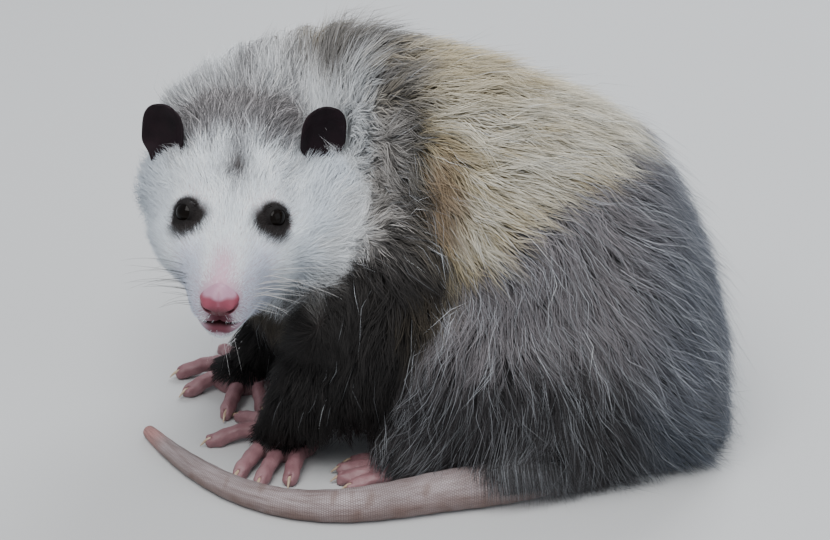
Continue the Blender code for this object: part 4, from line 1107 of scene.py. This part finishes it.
def growCoat(kind, share=1.0):
    spec = coatSpec[kind]
    dice = np.random.default_rng(spec["seed"])
    count = int(spec["count"] * share)
    ground = {"face": faceGround, "ruff": ruffGround, "skirt": skirtGround}.get(kind, coatGround)
    place, normal = scatterRoots(count, ground, dice)
    plan = toPlan(place)
    length = coatLength(plan) * spec["reach"] * dice.uniform(0.75, 1.2, count)
    way = lieOfCoat(plan, normal)
    # hairs are coloured by where they show, which is past their roots
    root, tip, guard, mixed = coatMarkings(plan + way * (length * coatSpec["colourAt"])[:, None])
    length = length * mm
    if kind == "guard":
        keep = dice.random(count) < 0.06 + 0.9 * guard
        place, normal, plan, way, tip, length, mixed = (v[keep]
            for v in (place, normal, plan, way, tip, length, mixed))
        count = len(place)
        dim = 1 - 0.5 * haunchMask(plan, 15) * ease(sideView(plan)[1], 335, 410)
        pale = coatTones["guard"] * (dice.uniform(0.22, 0.72, count) * dim)[:, None]
        root, tip = tip * 0.6 + pale * 0.4, pale
    way = unit(way + np.cross(normal, way) * dice.normal(0, 0.15, count)[:, None])
    if kind == "face":
        paths, outs = straightHair(place, normal, way, length, dice)
    elif kind == "skirt":
        paths, outs = drapeSkirt(place, normal, dice)
        # pale guard hairs among dark ones
        pale = (dice.random(count) < 0.3)[:, None]
        root = np.where(pale, coatTones["grey"] * 0.3, coatTones["underDark"] * 0.4)
        light, dark = (dice.uniform(*ends, (count, 1)) for ends in ((0.08, 0.36), (0.06, 0.3)))
        tip = np.where(pale, coatTones["guard"] * light, coatTones["grey"] * dark)
    else:
        paths, outs = bentHair(kind, place, normal, way, length, dice)
    paths[:, :, 2] = np.maximum(paths[:, :, 2], 0.6 * mm)
    # the tallest hair of the nape is laid down a little
    paths[:, :, 2] -= coatSpec["ceilingPull"] * np.maximum(paths[:, :, 2] - coatSpec["ceiling"] * mm, 0)
    keep = clearOfEars(paths)
    place, plan, paths, outs, root, tip, mixed = (v[keep]
        for v in (place, plan, paths, outs, root, tip, mixed))
    count = len(place)
    shade = np.clip(dice.normal(1.0, mixed), 0.4, 1.6)
    shade = (shade * np.where(dice.random(count) < 0.3, 1 + 2.2 * mixed, 1 - 0.5 * mixed))[:, None]
    lock = 1 + 0.07 * ripple(plan, 16, 31)[:, None] * (0.3 if kind == "face" else 1.0)
    root, tip = (np.clip(end * shade * lock, 0.002, 0.95) for end in (root, tip))
    width = spec["width"] * mm * dice.uniform(0.75, 1.25, count)
    back = inHead(plan)[0]
    width = width * (0.8 + 0.4 * ease(back, 15, 80) if kind == "face" else 0.68 + 0.32
        * ease(back, 90, 150))
    uv = rootUvs(place)
    taper = {2: (1.0,), 3: (0.8, 1.0), 4: (0.8, 1.0, 0.72)}[spec["rings"]]
    perTuft = 6 * spec["rings"] - 8
    batches = math.ceil(count / (coatSpec["room"] // perTuft))
    made = []
    for i in range(batches):
        pick = slice(i, None, batches)
        values = (v[pick] for v in (paths, outs, width))
        made.append(tuftMesh(f"coat_{kind}_{i + 1}", *values, taper, root[pick], tip[pick], 0.8, uv[pick]))
    print("coat", kind, count, "tufts in", batches, "pieces")
    return made


def byTail(plan, count=90):
    # for each point: its nearest place on the tail, the outward side there and how far off it is
    line = softRows(tailSpec["line"], count)
    gaps = size(plan[:, None, :2] - line[None, :, :2])
    near = np.argmin(gaps, axis=1)
    along = np.gradient(line[:, :2], axis=0)
    side = unit(np.stack([-along[:, 1], along[:, 0]], 1))
    side = side * np.sign(np.sum(side * (line[:, :2] - np.array((50.0, bodyMiddle))), 1))[:, None]
    return line[near], side[near], gaps[np.arange(len(plan)), near]


def skirtGround(plan, normal):
    # the hem of the coat beside the covered part of the tail
    at, side, gap = byTail(plan)
    ok = ease(plan[:, 2], 8, 18) * (1 - ease(plan[:, 2], 36, 66)) * ease(at[:, 0], 36, 72)
    return ok * ease(np.sum(normal[:, :2] * side, 1), -0.1, 0.5) * (1 - ease(gap, 20, 38))


def drapeSkirt(place, normal, dice):
    # hair that leaves the hem, passes outside the tail and ends near the floor
    plan = toPlan(place)
    count = len(plan)
    spread = np.zeros((count, 3))
    spread[:, 0] = dice.normal(0, 3.5, count) + 3.5 * ripple(plan, 11, 77) + 2.5 * ripple(plan, 6, 78)
    spread[:, 0] -= 7 * (1 - ease(plan[:, 0], 40, 90))
    at, side, _ = byTail(plan + spread, tailSpec["fineSteps"])
    out = np.concatenate([side, np.zeros((count, 1))], 1)
    radius = at[:, 2:3]
    middle = np.concatenate([at[:, :2], radius * tailSpec["sit"]], 1)
    uneven = (0.5 + 0.5 * ripple(plan, 5, 79))[:, None]
    end = middle + out * (radius + dice.uniform(0.5, 6.0, (count, 1)) + 3.0 * uneven)
    end[:, 2] = dice.uniform(0.8, 11.0, count) + 4.0 * uneven[:, 0]
    rise = np.array((0, 0, 1.0)) * (radius + dice.uniform(2.0, 6.0, (count, 1)))
    over = middle + out * (radius * 0.75 + 3.0) + rise
    start = plan - normal * 0.5
    first = start + normal * 5.0 + (over - start) * 0.35
    paths = placePlan(np.stack([start, first, over, end], 1))
    high, low = (unit(out + np.array((0, 0, lift))) for lift in (0.7, 0.3))
    return paths, np.stack([normal, unit(normal + out), high, low], 1)


def skirtHang(plan):
    # how freely the low hair hangs off the thighs and rump
    return 0.8 * (1 - ease(plan[:, 2], 34, 80)) * ease(plan[:, 0], -40, -5)


def clearTail(paths):
    # hair that would run into the tail is laid over it
    flat = toPlan(paths.reshape(-1, 3))
    low = np.nonzero(flat[:, 2] < 44)[0]
    for part in np.array_split(low, max(1, len(low) // 20000)):
        here = flat[part]
        x, y, radius = byTail(here)[0].T
        centre = np.stack([x, y, radius * tailSpec["sit"]], 1)
        away = here - centre
        reach = size(away)
        # from below the tail's middle it goes out sideways, from above it goes over
        away[:, 2] = np.maximum(away[:, 2], 0)
        pushed = centre + unit(away) * (radius + 0.8 + 0.8 * (reach < radius))[:, None]
        flat[part] = np.where((reach < radius + 0.8)[:, None], pushed, here)
    return placePlan(flat).reshape(paths.shape)


def gatherClumps(paths, place, kind, dice):
    # neighbouring hairs draw together towards a shared path, more towards the tip
    clumps = skinData["clumps"]
    goal = clumps["paths"][[clumps["finder"].find(p)[1] for p in place]]
    rings = paths.shape[1]
    at = np.linspace(0, 3, rings)
    low = np.floor(at).astype(int).clip(0, 2)
    part = (at - low)[None, :, None]
    goal = goal[:, low] * (1 - part) + goal[:, low + 1] * part
    pull = coatSpec["clumpPull"] * (np.linspace(0, 1, rings) ** 1.3)[None, :, None]
    pull = pull * dice.uniform(0.4, 1.2, (len(place), 1, 1)) * {"guard": 0.3, "ruff": 0.3}.get(kind, 1.0)
    start = goal[:, :1]
    shifted = start + (goal - start) * min(coatSpec[kind]["reach"], 1.1)
    # a hair far from its clump, as where long coat meets bare skin, keeps its own way
    near = 1 - ease(size(start[:, 0] - place), 0.008, 0.014)
    return paths + (shifted - paths) * np.clip(pull, 0, 0.9) * near[:, None, None]


def setClumps():
    dice = np.random.default_rng(17)
    place, normal = scatterRoots(coatSpec["clumps"], coatGround, dice)
    plan = toPlan(place)
    count = len(place)
    length = coatLength(plan) * mm * dice.uniform(0.9, 1.15, count)
    lift = coatLift(plan) * (0.35 + 0.65 * skinDepth(plan) / skinSpec["bodyDepth"])
    rise = [h * mm * lift * dice.uniform(0.75, 1.3, count) for h in (0.5, 4.6, 8.0, 10.8)]
    way = lieOfCoat(plan, normal)
    way = unit(way + np.cross(normal, way) * dice.normal(0, 0.26, count)[:, None])
    finder = KDTree(count)
    for i, p in enumerate(place):
        finder.insert(p, i)
    finder.balance()
    skinData["clumps"] = {"paths": combed(place, normal, way, length, rise, skirtHang(plan))[0],
        "finder": finder}


skinData = {"co": getCo(skin.data), "normals": getNormals(skin.data), "corners": triangles(skin.data)}
skinData["tree"] = treeOf(skinData["co"], skinData["corners"])
skinData["guide"] = unwrapGuide(skin)
print("unwrap ready")
setClumps()
coatPieces = []
for kind in ("under", "cover", "guard", "skirt", "ruff", "face"):
    coatPieces += growCoat(kind, 1.0)


# finishes
def hairFinish(name, roughness, specular):
    made = Finish(name, roughness, specular)
    made.feed("Base Color", made.attribute("coatTone"))
    return made.material


def skinFinish():
    made = Finish("furredSkin", 0.7, 0.2)
    grain = made.noise(900, 2)
    made.feed("Base Color", made.mix(grain * 0.5, made.attribute("skinTone"), (0.72, 0.70, 0.70),
        "MULTIPLY"))
    made.bump(made.noise(700, 3), 0.25, 0.0004)
    return made.material


def paintSkin(skin):
    plan = toPlan(getCo(skin.data))
    root = coatMarkings(plan)[0]
    back, left, up = inHead(plan)
    colour = lay(root * 0.7, root * 0.95 * tone(255, 240, 238), faceMask(plan))
    here = ease(up, -44, -34) * (1 - ease(np.abs(left), 40, 60))
    colour = lay(colour, tone(176, 152, 168), 0.8 * (1 - ease(back, 7, 22)) * here)
    ridge = hump((left, 0, 6)) * (1 - ease(back, 12, 42)) * ease(up, -3, 4) * here
    colour = lay(colour, tone(196, 160, 176), 0.85 * ridge)
    # lips and the groove above them in their own dusky red, deepened as painted shade under the nose, and
    # the dark line between them, a painted shadow in the mouth's seam
    front = (1 - ease(back, 8, 20)) * here
    gap = up - mouthLine(back, left)
    middle = np.exp(-(left / 6.2) ** 4)
    lower = ease(-gap, 0.0, 1.2) * (1 - ease(-gap, 4.0, 7.5)) * front * np.exp(-(left / 7.5) ** 4)
    colour = lay(colour, tone(98, 42, 54), 0.95 * lower)
    upper = ease(gap, 0.0, 0.8) * (1 - ease(gap, 1.5 + 4.5 * middle, 3.0 + 5.0 * middle)) * front
    colour = lay(colour, tone(84, 28, 40), (0.25 + 0.7 * middle) * upper)
    slit = hump((gap, 0, 0.7 + 0.7 * front * hump((left, 0, 6)))) * (1 - ease(back, 9, 20)) * (up < -5)
    colour = lay(colour, tone(46, 10, 16), np.clip(slit * 1.4, 0, 1))
    for side in (-1, 1):
        away = plan - eyePlan(side)
        ring = (1 - ease(size(offLine(away, eyeLook(side))), 5.0, 8.0)) * (size(away) < 16)
        colour = lay(colour, tone(16, 12, 12), ring)
    paintPoints(skin.data, "skinTone", np.clip(colour, 0.002, 0.95))


def thinSkin(skin):
    # the coat hides the body's skin, so its faces get larger there before the whole is thinned a little
    plan = toPlan(getCo(skin.data))
    back, left, up = inHead(plan)
    front = (1 - ease(back, 40, 48)) * ease(up, -40, -34) * (1 - ease(np.abs(left), 36, 44))
    weighVertices(skin, "hidden", 1 - np.maximum(front, nearEyes(plan)))
    for group, goal in (("hidden", skinSpec["bodyFaces"]), ("", skinSpec["faces"])):
        applyModifier(skin, "DECIMATE", ratio=min(1, goal / len(triangles(skin.data))), vertex_group=group)


thinSkin(skin)
paintSkin(skin)
skinStandsFor = ("head", "neck", "chest", "rump", "thigh_left", "thigh_right", "foreleg_left",
    "foreleg_right")
settle(skin, skinFinish(), "body_fur", *skinStandsFor)
hair = hairFinish("coatHair", 0.62, 0.25)
for piece in coatPieces:
    settle(piece, hair, "face_fur" if "face" in piece.name else "body_fur")


# nose pad
def shapeNose(co):
    # the pad from a unit ball: side to the animal's left, deep ahead, lift up
    side, deep, lift = co.T
    out = np.abs(side)
    front = ease(deep, -0.1, 0.6)
    narrow = 1 - 0.34 * ease(lift, 0.1, 1.0) - 0.26 * ease(-lift, 0.1, 1.0)
    groove = hump((side, 0, 0.07)) * ease(deep, 0.2, 0.8) * (0.5 + 0.5 * ease(-lift, -0.35, 0.3))
    wing = hump((out, 0.60, 0.24), (lift, -0.02, 0.34)) * front
    lobe = hump((out, 0.52, 0.22), (lift, -0.62, 0.22)) * front
    middle = hump((side, 0, 0.20), (lift, -0.25, 0.5)) * front
    brow = hump((out, 0.30, 0.16), (lift, 0.42, 0.34)) * front
    corner = hump((out, 0.72, 0.26), (lift, -0.36, 0.30)) * front
    # comma-shaped nostrils, open to the side
    nostril = hump((out, 0.62, 0.17), (lift - 0.55 * (out - 0.62), -0.34, 0.13)) * ease(deep, 0.0, 0.4)
    comma = hump((lift - 0.5 * (out - 0.8), -0.17, 0.08)) * ease(out, 0.68, 0.80) * (deep > -0.35)
    deep = deep + 0.24 * corner + 0.16 * wing + 0.08 * lobe + 0.05 * middle + 0.06 * brow
    deep = deep - 0.09 * groove - 0.75 * nostril
    wide = side * narrow * (1 + 0.08 * wing) - np.sign(side) * 0.20 * comma
    wide = wide * np.where(lift < 0, np.clip(1 - lift ** 2, 0.1, 1) ** -0.16, 1)
    shaped = headPlan(noseSpec["back"], 0, noseSpec["up"])
    for share, way, length in ((wide, leftward, "width"), (deep, ahead, "depth"), (lift, upward, "height")):
        shaped = shaped + np.outer(share * noseSpec[length], way)
    # pale above like the muzzle, rosy in front, dark red below where the underside is partly painted shade;
    # nostrils painted near-black as painted shadow in their openings
    colour = np.tile(tone(172, 136, 156), (len(co), 1))
    colour = lay(colour, tone(128, 58, 74), 1 - ease(lift + 0.06 * np.cos(7 * side), 0.34, 0.58))
    colour = lay(colour, tone(62, 16, 26), ease(-lift, -0.15, 0.5) * (1 - 0.5 * ease(out, 0.3, 0.6)))
    colour = lay(colour, tone(158, 104, 122), 0.6 * groove * (lift > 0))
    colour = lay(colour, tone(40, 10, 14), np.clip(nostril * 1.5 + comma * 0.9, 0, 1))
    return placePlan(shaped), colour


def makeNose():
    pad = ball("nosePad", 96, 64)
    co, colour = shapeNose(getCo(pad.data))
    setCo(pad.data, co)
    paintPoints(pad.data, "padTone", colour)
    faceOut(pad)
    pad.data.shade_smooth()
    made = Finish("nosePad", 0.42, 0.4)
    cells = made.node("ShaderNodeTexVoronoi", inputs={"Vector": made.place(), "Scale": 1700.0})
    mottled = made.mix(made.noise(300, 3) * 0.30, made.attribute("padTone"), tone(150, 84, 96))
    made.feed("Base Color", mottled)
    made.bump(cells + 0.6 * made.noise(500, 3), 0.5, 0.00022)
    settle(pad, made.material, "pink_skin", "nose")


makeNose()
print("nose made")


# eyes
def makeEyes():
    made = Finish("eyeball", 0.08, 0.10)
    made.feed("Base Color", made.mix(made.noise(200, 2), (0.002, 0.0015, 0.0015), (0.006, 0.004, 0.003)))
    for name, side in leftRight:
        eye = ball("eyeball_" + name, 48, 32, eyeSpec["radius"] * mm)
        co = getCo(eye.data)
        # the whole front is one dark cornea
        co = co * (1 + 0.035 * ease(unit(co) @ eyeLook(side), -0.2, 1.0))[:, None]
        setCo(eye.data, co + placePlan(eyePlan(side)))
        eye.data.shade_smooth()
        settle(eye, made.material, "eye", "eye_" + name)


makeEyes()
print("eyes made")


# ears: thin black cups
def earCup(name, side):
    # a thin sheet on a rounded outline, bowed back, with a slight curl and a wavy edge
    root, top = earLine(name)
    along = unit(top - root)
    across = unit(np.cross(along, earForward(side))) * side
    out = np.cross(across, along) * side
    columns, shoulder, full = earSpec["columns"], earSpec["shoulder"], earSpec["fullness"]
    low = np.linspace(earSpec["foot"], shoulder, earSpec["rows"] - earSpec["topRows"])
    high = np.sin(np.linspace(0, 1, earSpec["topRows"] + 1)[1:] * math.pi / 2)
    verts = []
    for at in np.concatenate([low, shoulder + (1 - shoulder) * high]):
        fromMiddle = abs((max(at, -0.05) - 0.38) / 0.64)
        half = earSpec["width"] / 2 * (1 - fromMiddle ** full) ** (1 / full)
        half = half * (1 - 0.45 * ease(-at, -0.15, 0.3))
        for t in np.linspace(-1, 1, columns):
            depth = -earSpec["cup"] * (1 - t * t) * math.cos((at - 0.35) * 1.4) * (1 - 0.5
                * ease(at, 0.5, 1.0))
            depth += 0.22 * math.sin(7 * t + 4 * at) * (1 - t * t) * ease(at, 0.1, 0.4)
            height = earSpec["length"] * at / (1 + 0.05 * t * t)
            verts.append(root + along * height + across * half * t + out * depth)
    faces = []
    for low in range(0, (earSpec["rows"] - 1) * columns, columns):
        faces += [(i, i + 1, i + columns + 1, i + columns) for i in range(low, low + columns - 1)]
    return looseMesh("ear_cup_" + name, placePlan(np.array(verts)), faces)


def makeEars():
    made = Finish("earLeather", 0.6, 0.14)
    made.feed("Base Color", made.mix(made.noise(120, 3), tone(12, 11, 14), tone(36, 22, 28)))
    made.bump(made.noise(420, 4) + 0.6 * made.noise(90, 2), 0.3, 0.0005)
    for name, side in leftRight:
        ear = earCup(name, side)
        applyModifier(ear, "SOLIDIFY", thickness=earSpec["thick"] * mm, offset=0.0)
        applyModifier(ear, "SUBSURF", levels=1, render_levels=1)
        faceOut(ear).data.shade_smooth()
        settle(ear, made.material, "ear_skin", "ear_" + name)


makeEars()
print("ears made")


# tail
def tailRings(line, steps):
    # rings of the tail and how far along it each is, with rounded ends
    last, sides = len(line) - 1, tailSpec["sides"]
    angles = np.linspace(0, 2 * math.pi, sides, endpoint=False)
    rings, travel = [], []
    for i, (x, y, radius) in enumerate(line):
        before, after = line[max(i - 1, 0)], line[min(i + 1, last)]
        along = unit(np.array((after[0] - before[0], after[1] - before[1], 0.0)))
        side = np.array((-along[1], along[0], 0.0))
        ends = [(-0.96, 0.27), (-0.7, 0.7)] if i == 0 else []
        ends += [(0, 1)] + ([(0.4, 0.92), (0.72, 0.7), (0.95, 0.3)] if i == last else [])
        ridge = 1 + 0.012 * math.sin(2 * math.pi * steps[i] / tailSpec["scale"])
        for out, wide in ends:
            r = radius * wide * ridge
            centre = np.array((x, y, radius * tailSpec["sit"])) + along * radius * out
            ring = centre + np.outer(np.cos(angles) * r, side) + np.outer(np.sin(angles) * r, (0, 0, 1))
            ring[:, 2] = np.maximum(ring[:, 2], tailSpec["floorGap"])
            rings.append(ring)
            travel.append(steps[i] + radius * out)
    return rings, np.array(travel)


def wrapTail(mesh, around, far):
    # the wrap for the scales: round the tail and along it, with no face across the join
    index = np.empty(len(mesh.loops), np.int32)
    mesh.loops.foreach_get("vertex_index", index)
    u = around[index]
    for face in mesh.polygons:
        part = slice(face.loop_start, face.loop_start + face.loop_total)
        if np.ptp(u[part]) > 0.5:
            u[part] = np.where(u[part] < 0.5, u[part] + 1, u[part])
    uv = np.stack([u, far[index] * mm * tailSpec["wrapLength"]], 1)
    mesh.uv_layers.new(name="tailWrap").data.foreach_set("uv", uv.astype(np.float32).ravel())


def tailFinish():
    made = Finish("tailScales", 0.5, 0.35)
    wrap = made.node("ShaderNodeUVMap", {"uv_map": "tailWrap"})
    stretched = made.node("ShaderNodeMapping", inputs={"Vector": wrap, "Scale": (44.0, 46.0, 1.0)})
    brick = {"Scale": 1.0, "Mortar Size": 0.16, "Mortar Smooth": 0.7, "Brick Width": 1.0, "Row Height": 1.0}
    cells = made.node("ShaderNodeTexBrick", inputs={"Vector": stretched, **brick}, out=1)
    # long soft wrinkles and grime along it, fine rings of scales across it
    drawn = made.node("ShaderNodeMapping", inputs={"Vector": wrap, "Scale": (26.0, 3.2, 1.0)})
    streaks = made.noise(1.0, 4, drawn)
    grime = made.mix(streaks ** 2 * 1.5, made.attribute("tailTone"), tone(108, 88, 84))
    made.feed("Base Color", made.mix(cells * 0.62, grime, tone(92, 74, 72)))
    made.bump((1.0 - cells) + 0.5 * made.noise(300, 3) + 1.4 * streaks, 0.6, 0.0006)
    return made.material


def makeTail():
    line = softRows(tailSpec["line"], tailSpec["rings"])
    steps = np.concatenate([[0], np.cumsum(size(np.diff(line[:, :2], axis=0)))])
    sides = tailSpec["sides"]
    rings, travel = tailRings(line, steps)
    tail = ringLoft("tailSkin", rings)
    plan = toPlan(getCo(tail.data))
    far = np.repeat(travel, sides)
    wrapTail(tail.data, np.tile(np.arange(sides) / sides, len(travel)), far)
    # darker low down, partly grime and partly painted shade on the underside, soiled in blotches, rosy
    # towards the tip
    high = np.clip(plan[:, 2] / (2 * np.interp(far, steps, line[:, 2])), 0, 1)
    colour = tone(174, 164, 166) * (1 + 0.10 * ripple(plan, 26, 41))[:, None]
    grimeAndShade = (1 - ease(high, 0.3, 0.8)) * (0.75 + 0.25 * ripple(plan, 14, 42))
    grimeAndShade = grimeAndShade + 0.6 * ease(ripple(plan, 9, 43), 0.7, 1.4)
    colour = lay(colour, tone(112, 84, 70), 0.8 * np.clip(grimeAndShade, 0, 1))
    colour = lay(colour, tone(208, 138, 132), 0.75 * ease(far, steps[-1] - 26, steps[-1] - 4))
    paintPoints(tail.data, "tailTone", np.clip(colour, 0.01, 0.9))
    tail.data.shade_smooth()
    standsFor = ("tail_root", "tail_base", "tail_middle", "tail_fore", "tail_end")
    settle(tail, tailFinish(), "tail_skin", *standsFor)


makeTail()
print("tail made")


# feet and claws, from the solids, rounded and finer; palm centres in the plan
footSpec = {
    "forefoot_left": (-66, -14), "forefoot_right": (-92, 54),
    "hindfoot_left": (-4, -43), "hindfoot_right": (-4, 85),
    "firstClaw": {"fore": 1, "hind": 2}, "voxel": 0.65, "plump": 1.1,
    "tufts": 1500, "hair": 8.0, "hairWidth": 0.44, "seed": 81,
}


def copySolid(name):
    pickOnly(frame["nodes"][name])
    bpy.ops.object.duplicate()
    made = bpy.context.object
    made.parent = None
    made.data.materials.clear()
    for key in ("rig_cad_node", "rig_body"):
        if key in made:
            del made[key]
    return made


def growPaw(flesh, foot):
    # short dark fur over the back of the paw, out to where the toes start
    dice = np.random.default_rng(footSpec["seed"])
    co, normals, corners = getCo(flesh.data), getNormals(flesh.data), triangles(flesh.data)
    middle = np.array(footSpec[foot])
    a, b, c = (co[corners[:, i]] for i in range(3))
    centres = (a + b + c) / 3
    facing = normals[corners[:, 0]]
    gone = size(toPlan(centres)[:, :2] - middle)
    weight = size(np.cross(b - a, c - a)) * (1 - ease(gone, 9, 15)) * ease(facing[:, 2], 0.0, 0.4)
    count = footSpec["tufts"]
    pick = dice.choice(len(corners), count, p=weight / weight.sum())
    place, normal = centres[pick], facing[pick]
    out = toPlan(place)
    out[:, :2] += np.array((-4.0, -2.0)) - middle
    out[:, 2] = 0
    way = unit(offLine(unit(out + dice.normal(0, 0.25, (count, 3))), normal))
    length = (footSpec["hair"] * mm * dice.uniform(0.6, 1.2, count))[:, None]
    bend = place + way * length * 0.5 + normal * length * 0.24
    end = place + way * length + normal * length * 0.18
    paths = np.stack([place - normal * 0.2 * mm, bend, end], 1)
    paths[:, :, 2] = np.maximum(paths[:, :, 2], 0.6 * mm)
    dark = coatTones["black"] * dice.uniform(0.6, 2.0, (count, 1))
    width = footSpec["hairWidth"] * mm * dice.uniform(0.7, 1.2, count)
    outs = np.stack([normal] * 3, 1)
    fur = tuftMesh("coat_" + foot, paths, outs, width, (0.9, 1.0), dark * 0.7, dark, 0.8, rootUvs(place))
    settle(fur, hair, "dark_fur")


def makeFlesh(foot, material):
    flesh = copySolid(foot)
    flesh.name = foot + "_flesh"
    remesh(flesh, footSpec["voxel"] * mm)
    applyModifier(flesh, "SMOOTH", factor=0.5, iterations=6)
    # plump toe ends and knuckles, grown from the solids' slim toes
    co = getCo(flesh.data)
    gone = size(toPlan(co)[:, :2] - np.array(footSpec[foot]))
    plump = footSpec["plump"] * ease(gone, 13, 22) * (0.85 + 0.18 * np.sin(gone * 0.8))
    co = co + getNormals(flesh.data) * (plump * mm)[:, None]
    co[:, 2] = np.maximum(co[:, 2], 0.1 * mm)
    setCo(flesh.data, co)
    flesh.data.shade_smooth()
    if foot.startswith("fore"):
        growPaw(flesh, foot)
    settle(flesh, material, "pink_skin", foot)


def makeClaws(foot, material):
    names = [f"claw_{foot}_{i}" for i in range(footSpec["firstClaw"][foot[:4]], 6)]
    claws = []
    for name in names:
        claw = editAll(copySolid(name), (bpy.ops.mesh.remove_doubles, {"threshold": 0.05 * mm}))
        claws.append(applyModifier(claw, "SUBSURF", levels=2, render_levels=2))
    nails = joinAll(claws, foot + "_claws")
    nails.data.shade_smooth()
    settle(nails, material, "claw", *names)


def makeFeet():
    bare = Finish("footSkin", 0.45, 0.4)
    edges = {"feature": "DISTANCE_TO_EDGE"}
    creases = bare.node("ShaderNodeTexVoronoi", edges, {"Vector": bare.place(), "Scale": 620.0})
    # the feet's own grey-pink mottle, the whole painted darker as painted shade over the toes
    bare.feed("Base Color", bare.mix(bare.noise(110, 3), tone(160, 124, 128), tone(108, 68, 74)))
    bare.bump(creases + 0.4 * bare.noise(900, 2), 0.4, 0.0005)
    horn = Finish("clawHorn", 0.35, 0.4)
    horn.feed("Base Color", horn.mix(horn.noise(500, 2), tone(212, 196, 170), tone(150, 120, 96)))
    for foot in ("forefoot_left", "forefoot_right", "hindfoot_left", "hindfoot_right"):
        makeFlesh(foot, bare.material)
        makeClaws(foot, horn.material)


makeFeet()
print("feet and claws made")


# whiskers
# per place: how it leaves the skin as shares of left, ahead and up, and how much that varies
whiskerSpec = {
    "width": 0.22, "seed": 51, "rings": 9,
    "brow": (0.25, -0.3, 1.0, 0.1), "cheek": (1.0, -0.3, -0.4, 0.1), "chin": (0.0, -0.15, -1.0, 0.15),
}


def whiskerStarts(dice):
    # rows on each side of the muzzle, a few on brow, cheek and chin: ray from and to, way out, length
    starts = []
    for side in (-1, 1):
        for row in range(4):
            for step in range(5):
                back = 12 + 4.6 * step + dice.normal(0, 0.7)
                up = -3.5 - 3.1 * row + dice.normal(0, 0.5) + 0.1 * step
                way = (1.0, -0.25 - 0.10 * row, 0.10 - 0.16 * row, 0.10)
                length = 17 + 4.6 * step + dice.uniform(-4, 6)
                starts.append(((back, side * 30, up), (back, side * 2, up), side, way, length))
        for step in (0, 3):
            high, low = ((66 + step, side * (12 + step), up) for up in (50, 0))
            starts.append((high, low, side, whiskerSpec["brow"], 17))
        for up in (-20, -25):
            starts.append(((60, side * 90, up), (60, 0, up), side, whiskerSpec["cheek"], 26))
    for step in range(6):
        low, high = ((14 + 3 * step, -5 + 2 * step, up) for up in (-60, -15))
        starts.append((low, high, 0, whiskerSpec["chin"], 20 + 2 * step))
    return starts


def makeWhiskers():
    dice = np.random.default_rng(whiskerSpec["seed"])
    rings = whiskerSpec["rings"]
    t = np.linspace(0, 1, rings)[:, None]
    paths, outs, widths = [], [], []
    for start, goal, side, (aside, forward, rise, loose), length in whiskerStarts(dice):
        origin, target = (Vector(placePlan(headPlan(*place))) for place in (start, goal))
        hit = skinData["tree"].ray_cast(origin, (target - origin).normalized())[0]
        if hit is None:
            continue
        way = leftward * side * aside + ahead * forward + upward * rise
        way = unit(way + dice.normal(0, loose, 3))
        bend = np.array((0, 0, -1.0)) * dice.uniform(0.1, 0.4) - ahead * dice.uniform(0.0, 0.35)
        paths.append(np.array(hit) - way * mm + (way * t + bend * t * t) * length * mm)
        outs.append(np.tile(unit(np.cross(way, (0.3, 0.2, 1))), (rings, 1)))
        widths.append(whiskerSpec["width"] * mm * (0.7 + 0.3 * dice.random()))
    paths, outs, widths = np.array(paths), np.array(outs), np.array(widths)
    root = np.tile(tone(200, 192, 186), (len(paths), 1))
    root[dice.random(len(paths)) < 0.15] = tone(50, 44, 44)
    tip = np.tile(tone(236, 236, 236), (len(paths), 1))
    taper = np.linspace(1.0, 0.35, rings - 1)
    made = tuftMesh("whiskers", paths, outs, widths, taper, root, tip, 0.6, rootUvs(paths[:, 0]))
    settle(made, hairFinish("whiskerHair", 0.35, 0.4), "face_fur")


makeWhiskers()
print("whiskers made")


# floor, light and camera
stageSpec = {
    "floor": 6.0, "elevation": 27.0, "distance": 1.2, "aim": (0, 0, 96), "lightAim": (0, 0, 0.1),
    "focal": 2400.0, "pictureWidth": 830, "sensor": 36, "air": (0.80, 0.84, 0.90, 1), "airStrength": 0.6,
    "lights": (
        ("keyLight", (-0.35, -0.95, 2.1), 1.7, 62, (1.0, 0.99, 0.97)),
        ("fillLight", (1.3, -0.9, 0.9), 1.4, 7, (0.92, 0.96, 1.0)),
        ("rimLight", (0.6, 1.3, 1.4), 1.0, 26, (0.94, 0.97, 1.0)),
    ),
}


def aimAlong(way):
    return way.to_track_quat("-Z", "Y").to_euler()


def setStage():
    bpy.ops.mesh.primitive_plane_add(size=stageSpec["floor"], location=(0, 0, 0))
    floor = bpy.context.object
    floor.name = "studioFloor"
    paper = Finish("studioPaper", 0.85, 0.2)
    paper.feed("Base Color", paper.mix(paper.noise(6, 2) * 0.12, tone(190, 191, 192), tone(176, 177, 178)))
    floor.data.materials.append(paper.material)
    world = bpy.data.worlds.new("studioAir")
    bpy.context.scene.world = world
    world.use_nodes = True
    air = world.node_tree.nodes["Background"].inputs
    air[0].default_value = stageSpec["air"]
    air[1].default_value = stageSpec["airStrength"]
    for name, at, wide, power, colour in stageSpec["lights"]:
        bpy.ops.object.light_add(type="AREA", location=at)
        light = bpy.context.object
        light.name = name
        light.data.size = wide
        light.data.energy = power
        light.data.color = colour
        light.rotation_euler = aimAlong(Vector(stageSpec["lightAim"]) - Vector(at))
    tilt = math.radians(stageSpec["elevation"])
    look = Vector((0, math.cos(tilt), -math.sin(tilt)))
    place = Vector(placePlan(stageSpec["aim"])) - look * stageSpec["distance"]
    bpy.ops.object.camera_add(location=place, rotation=aimAlong(look))
    camera = bpy.context.object
    camera.data.sensor_width = stageSpec["sensor"]
    camera.data.lens = stageSpec["focal"] / stageSpec["pictureWidth"] * stageSpec["sensor"]
    bpy.context.scene.camera = camera


setStage()
print("stage set")
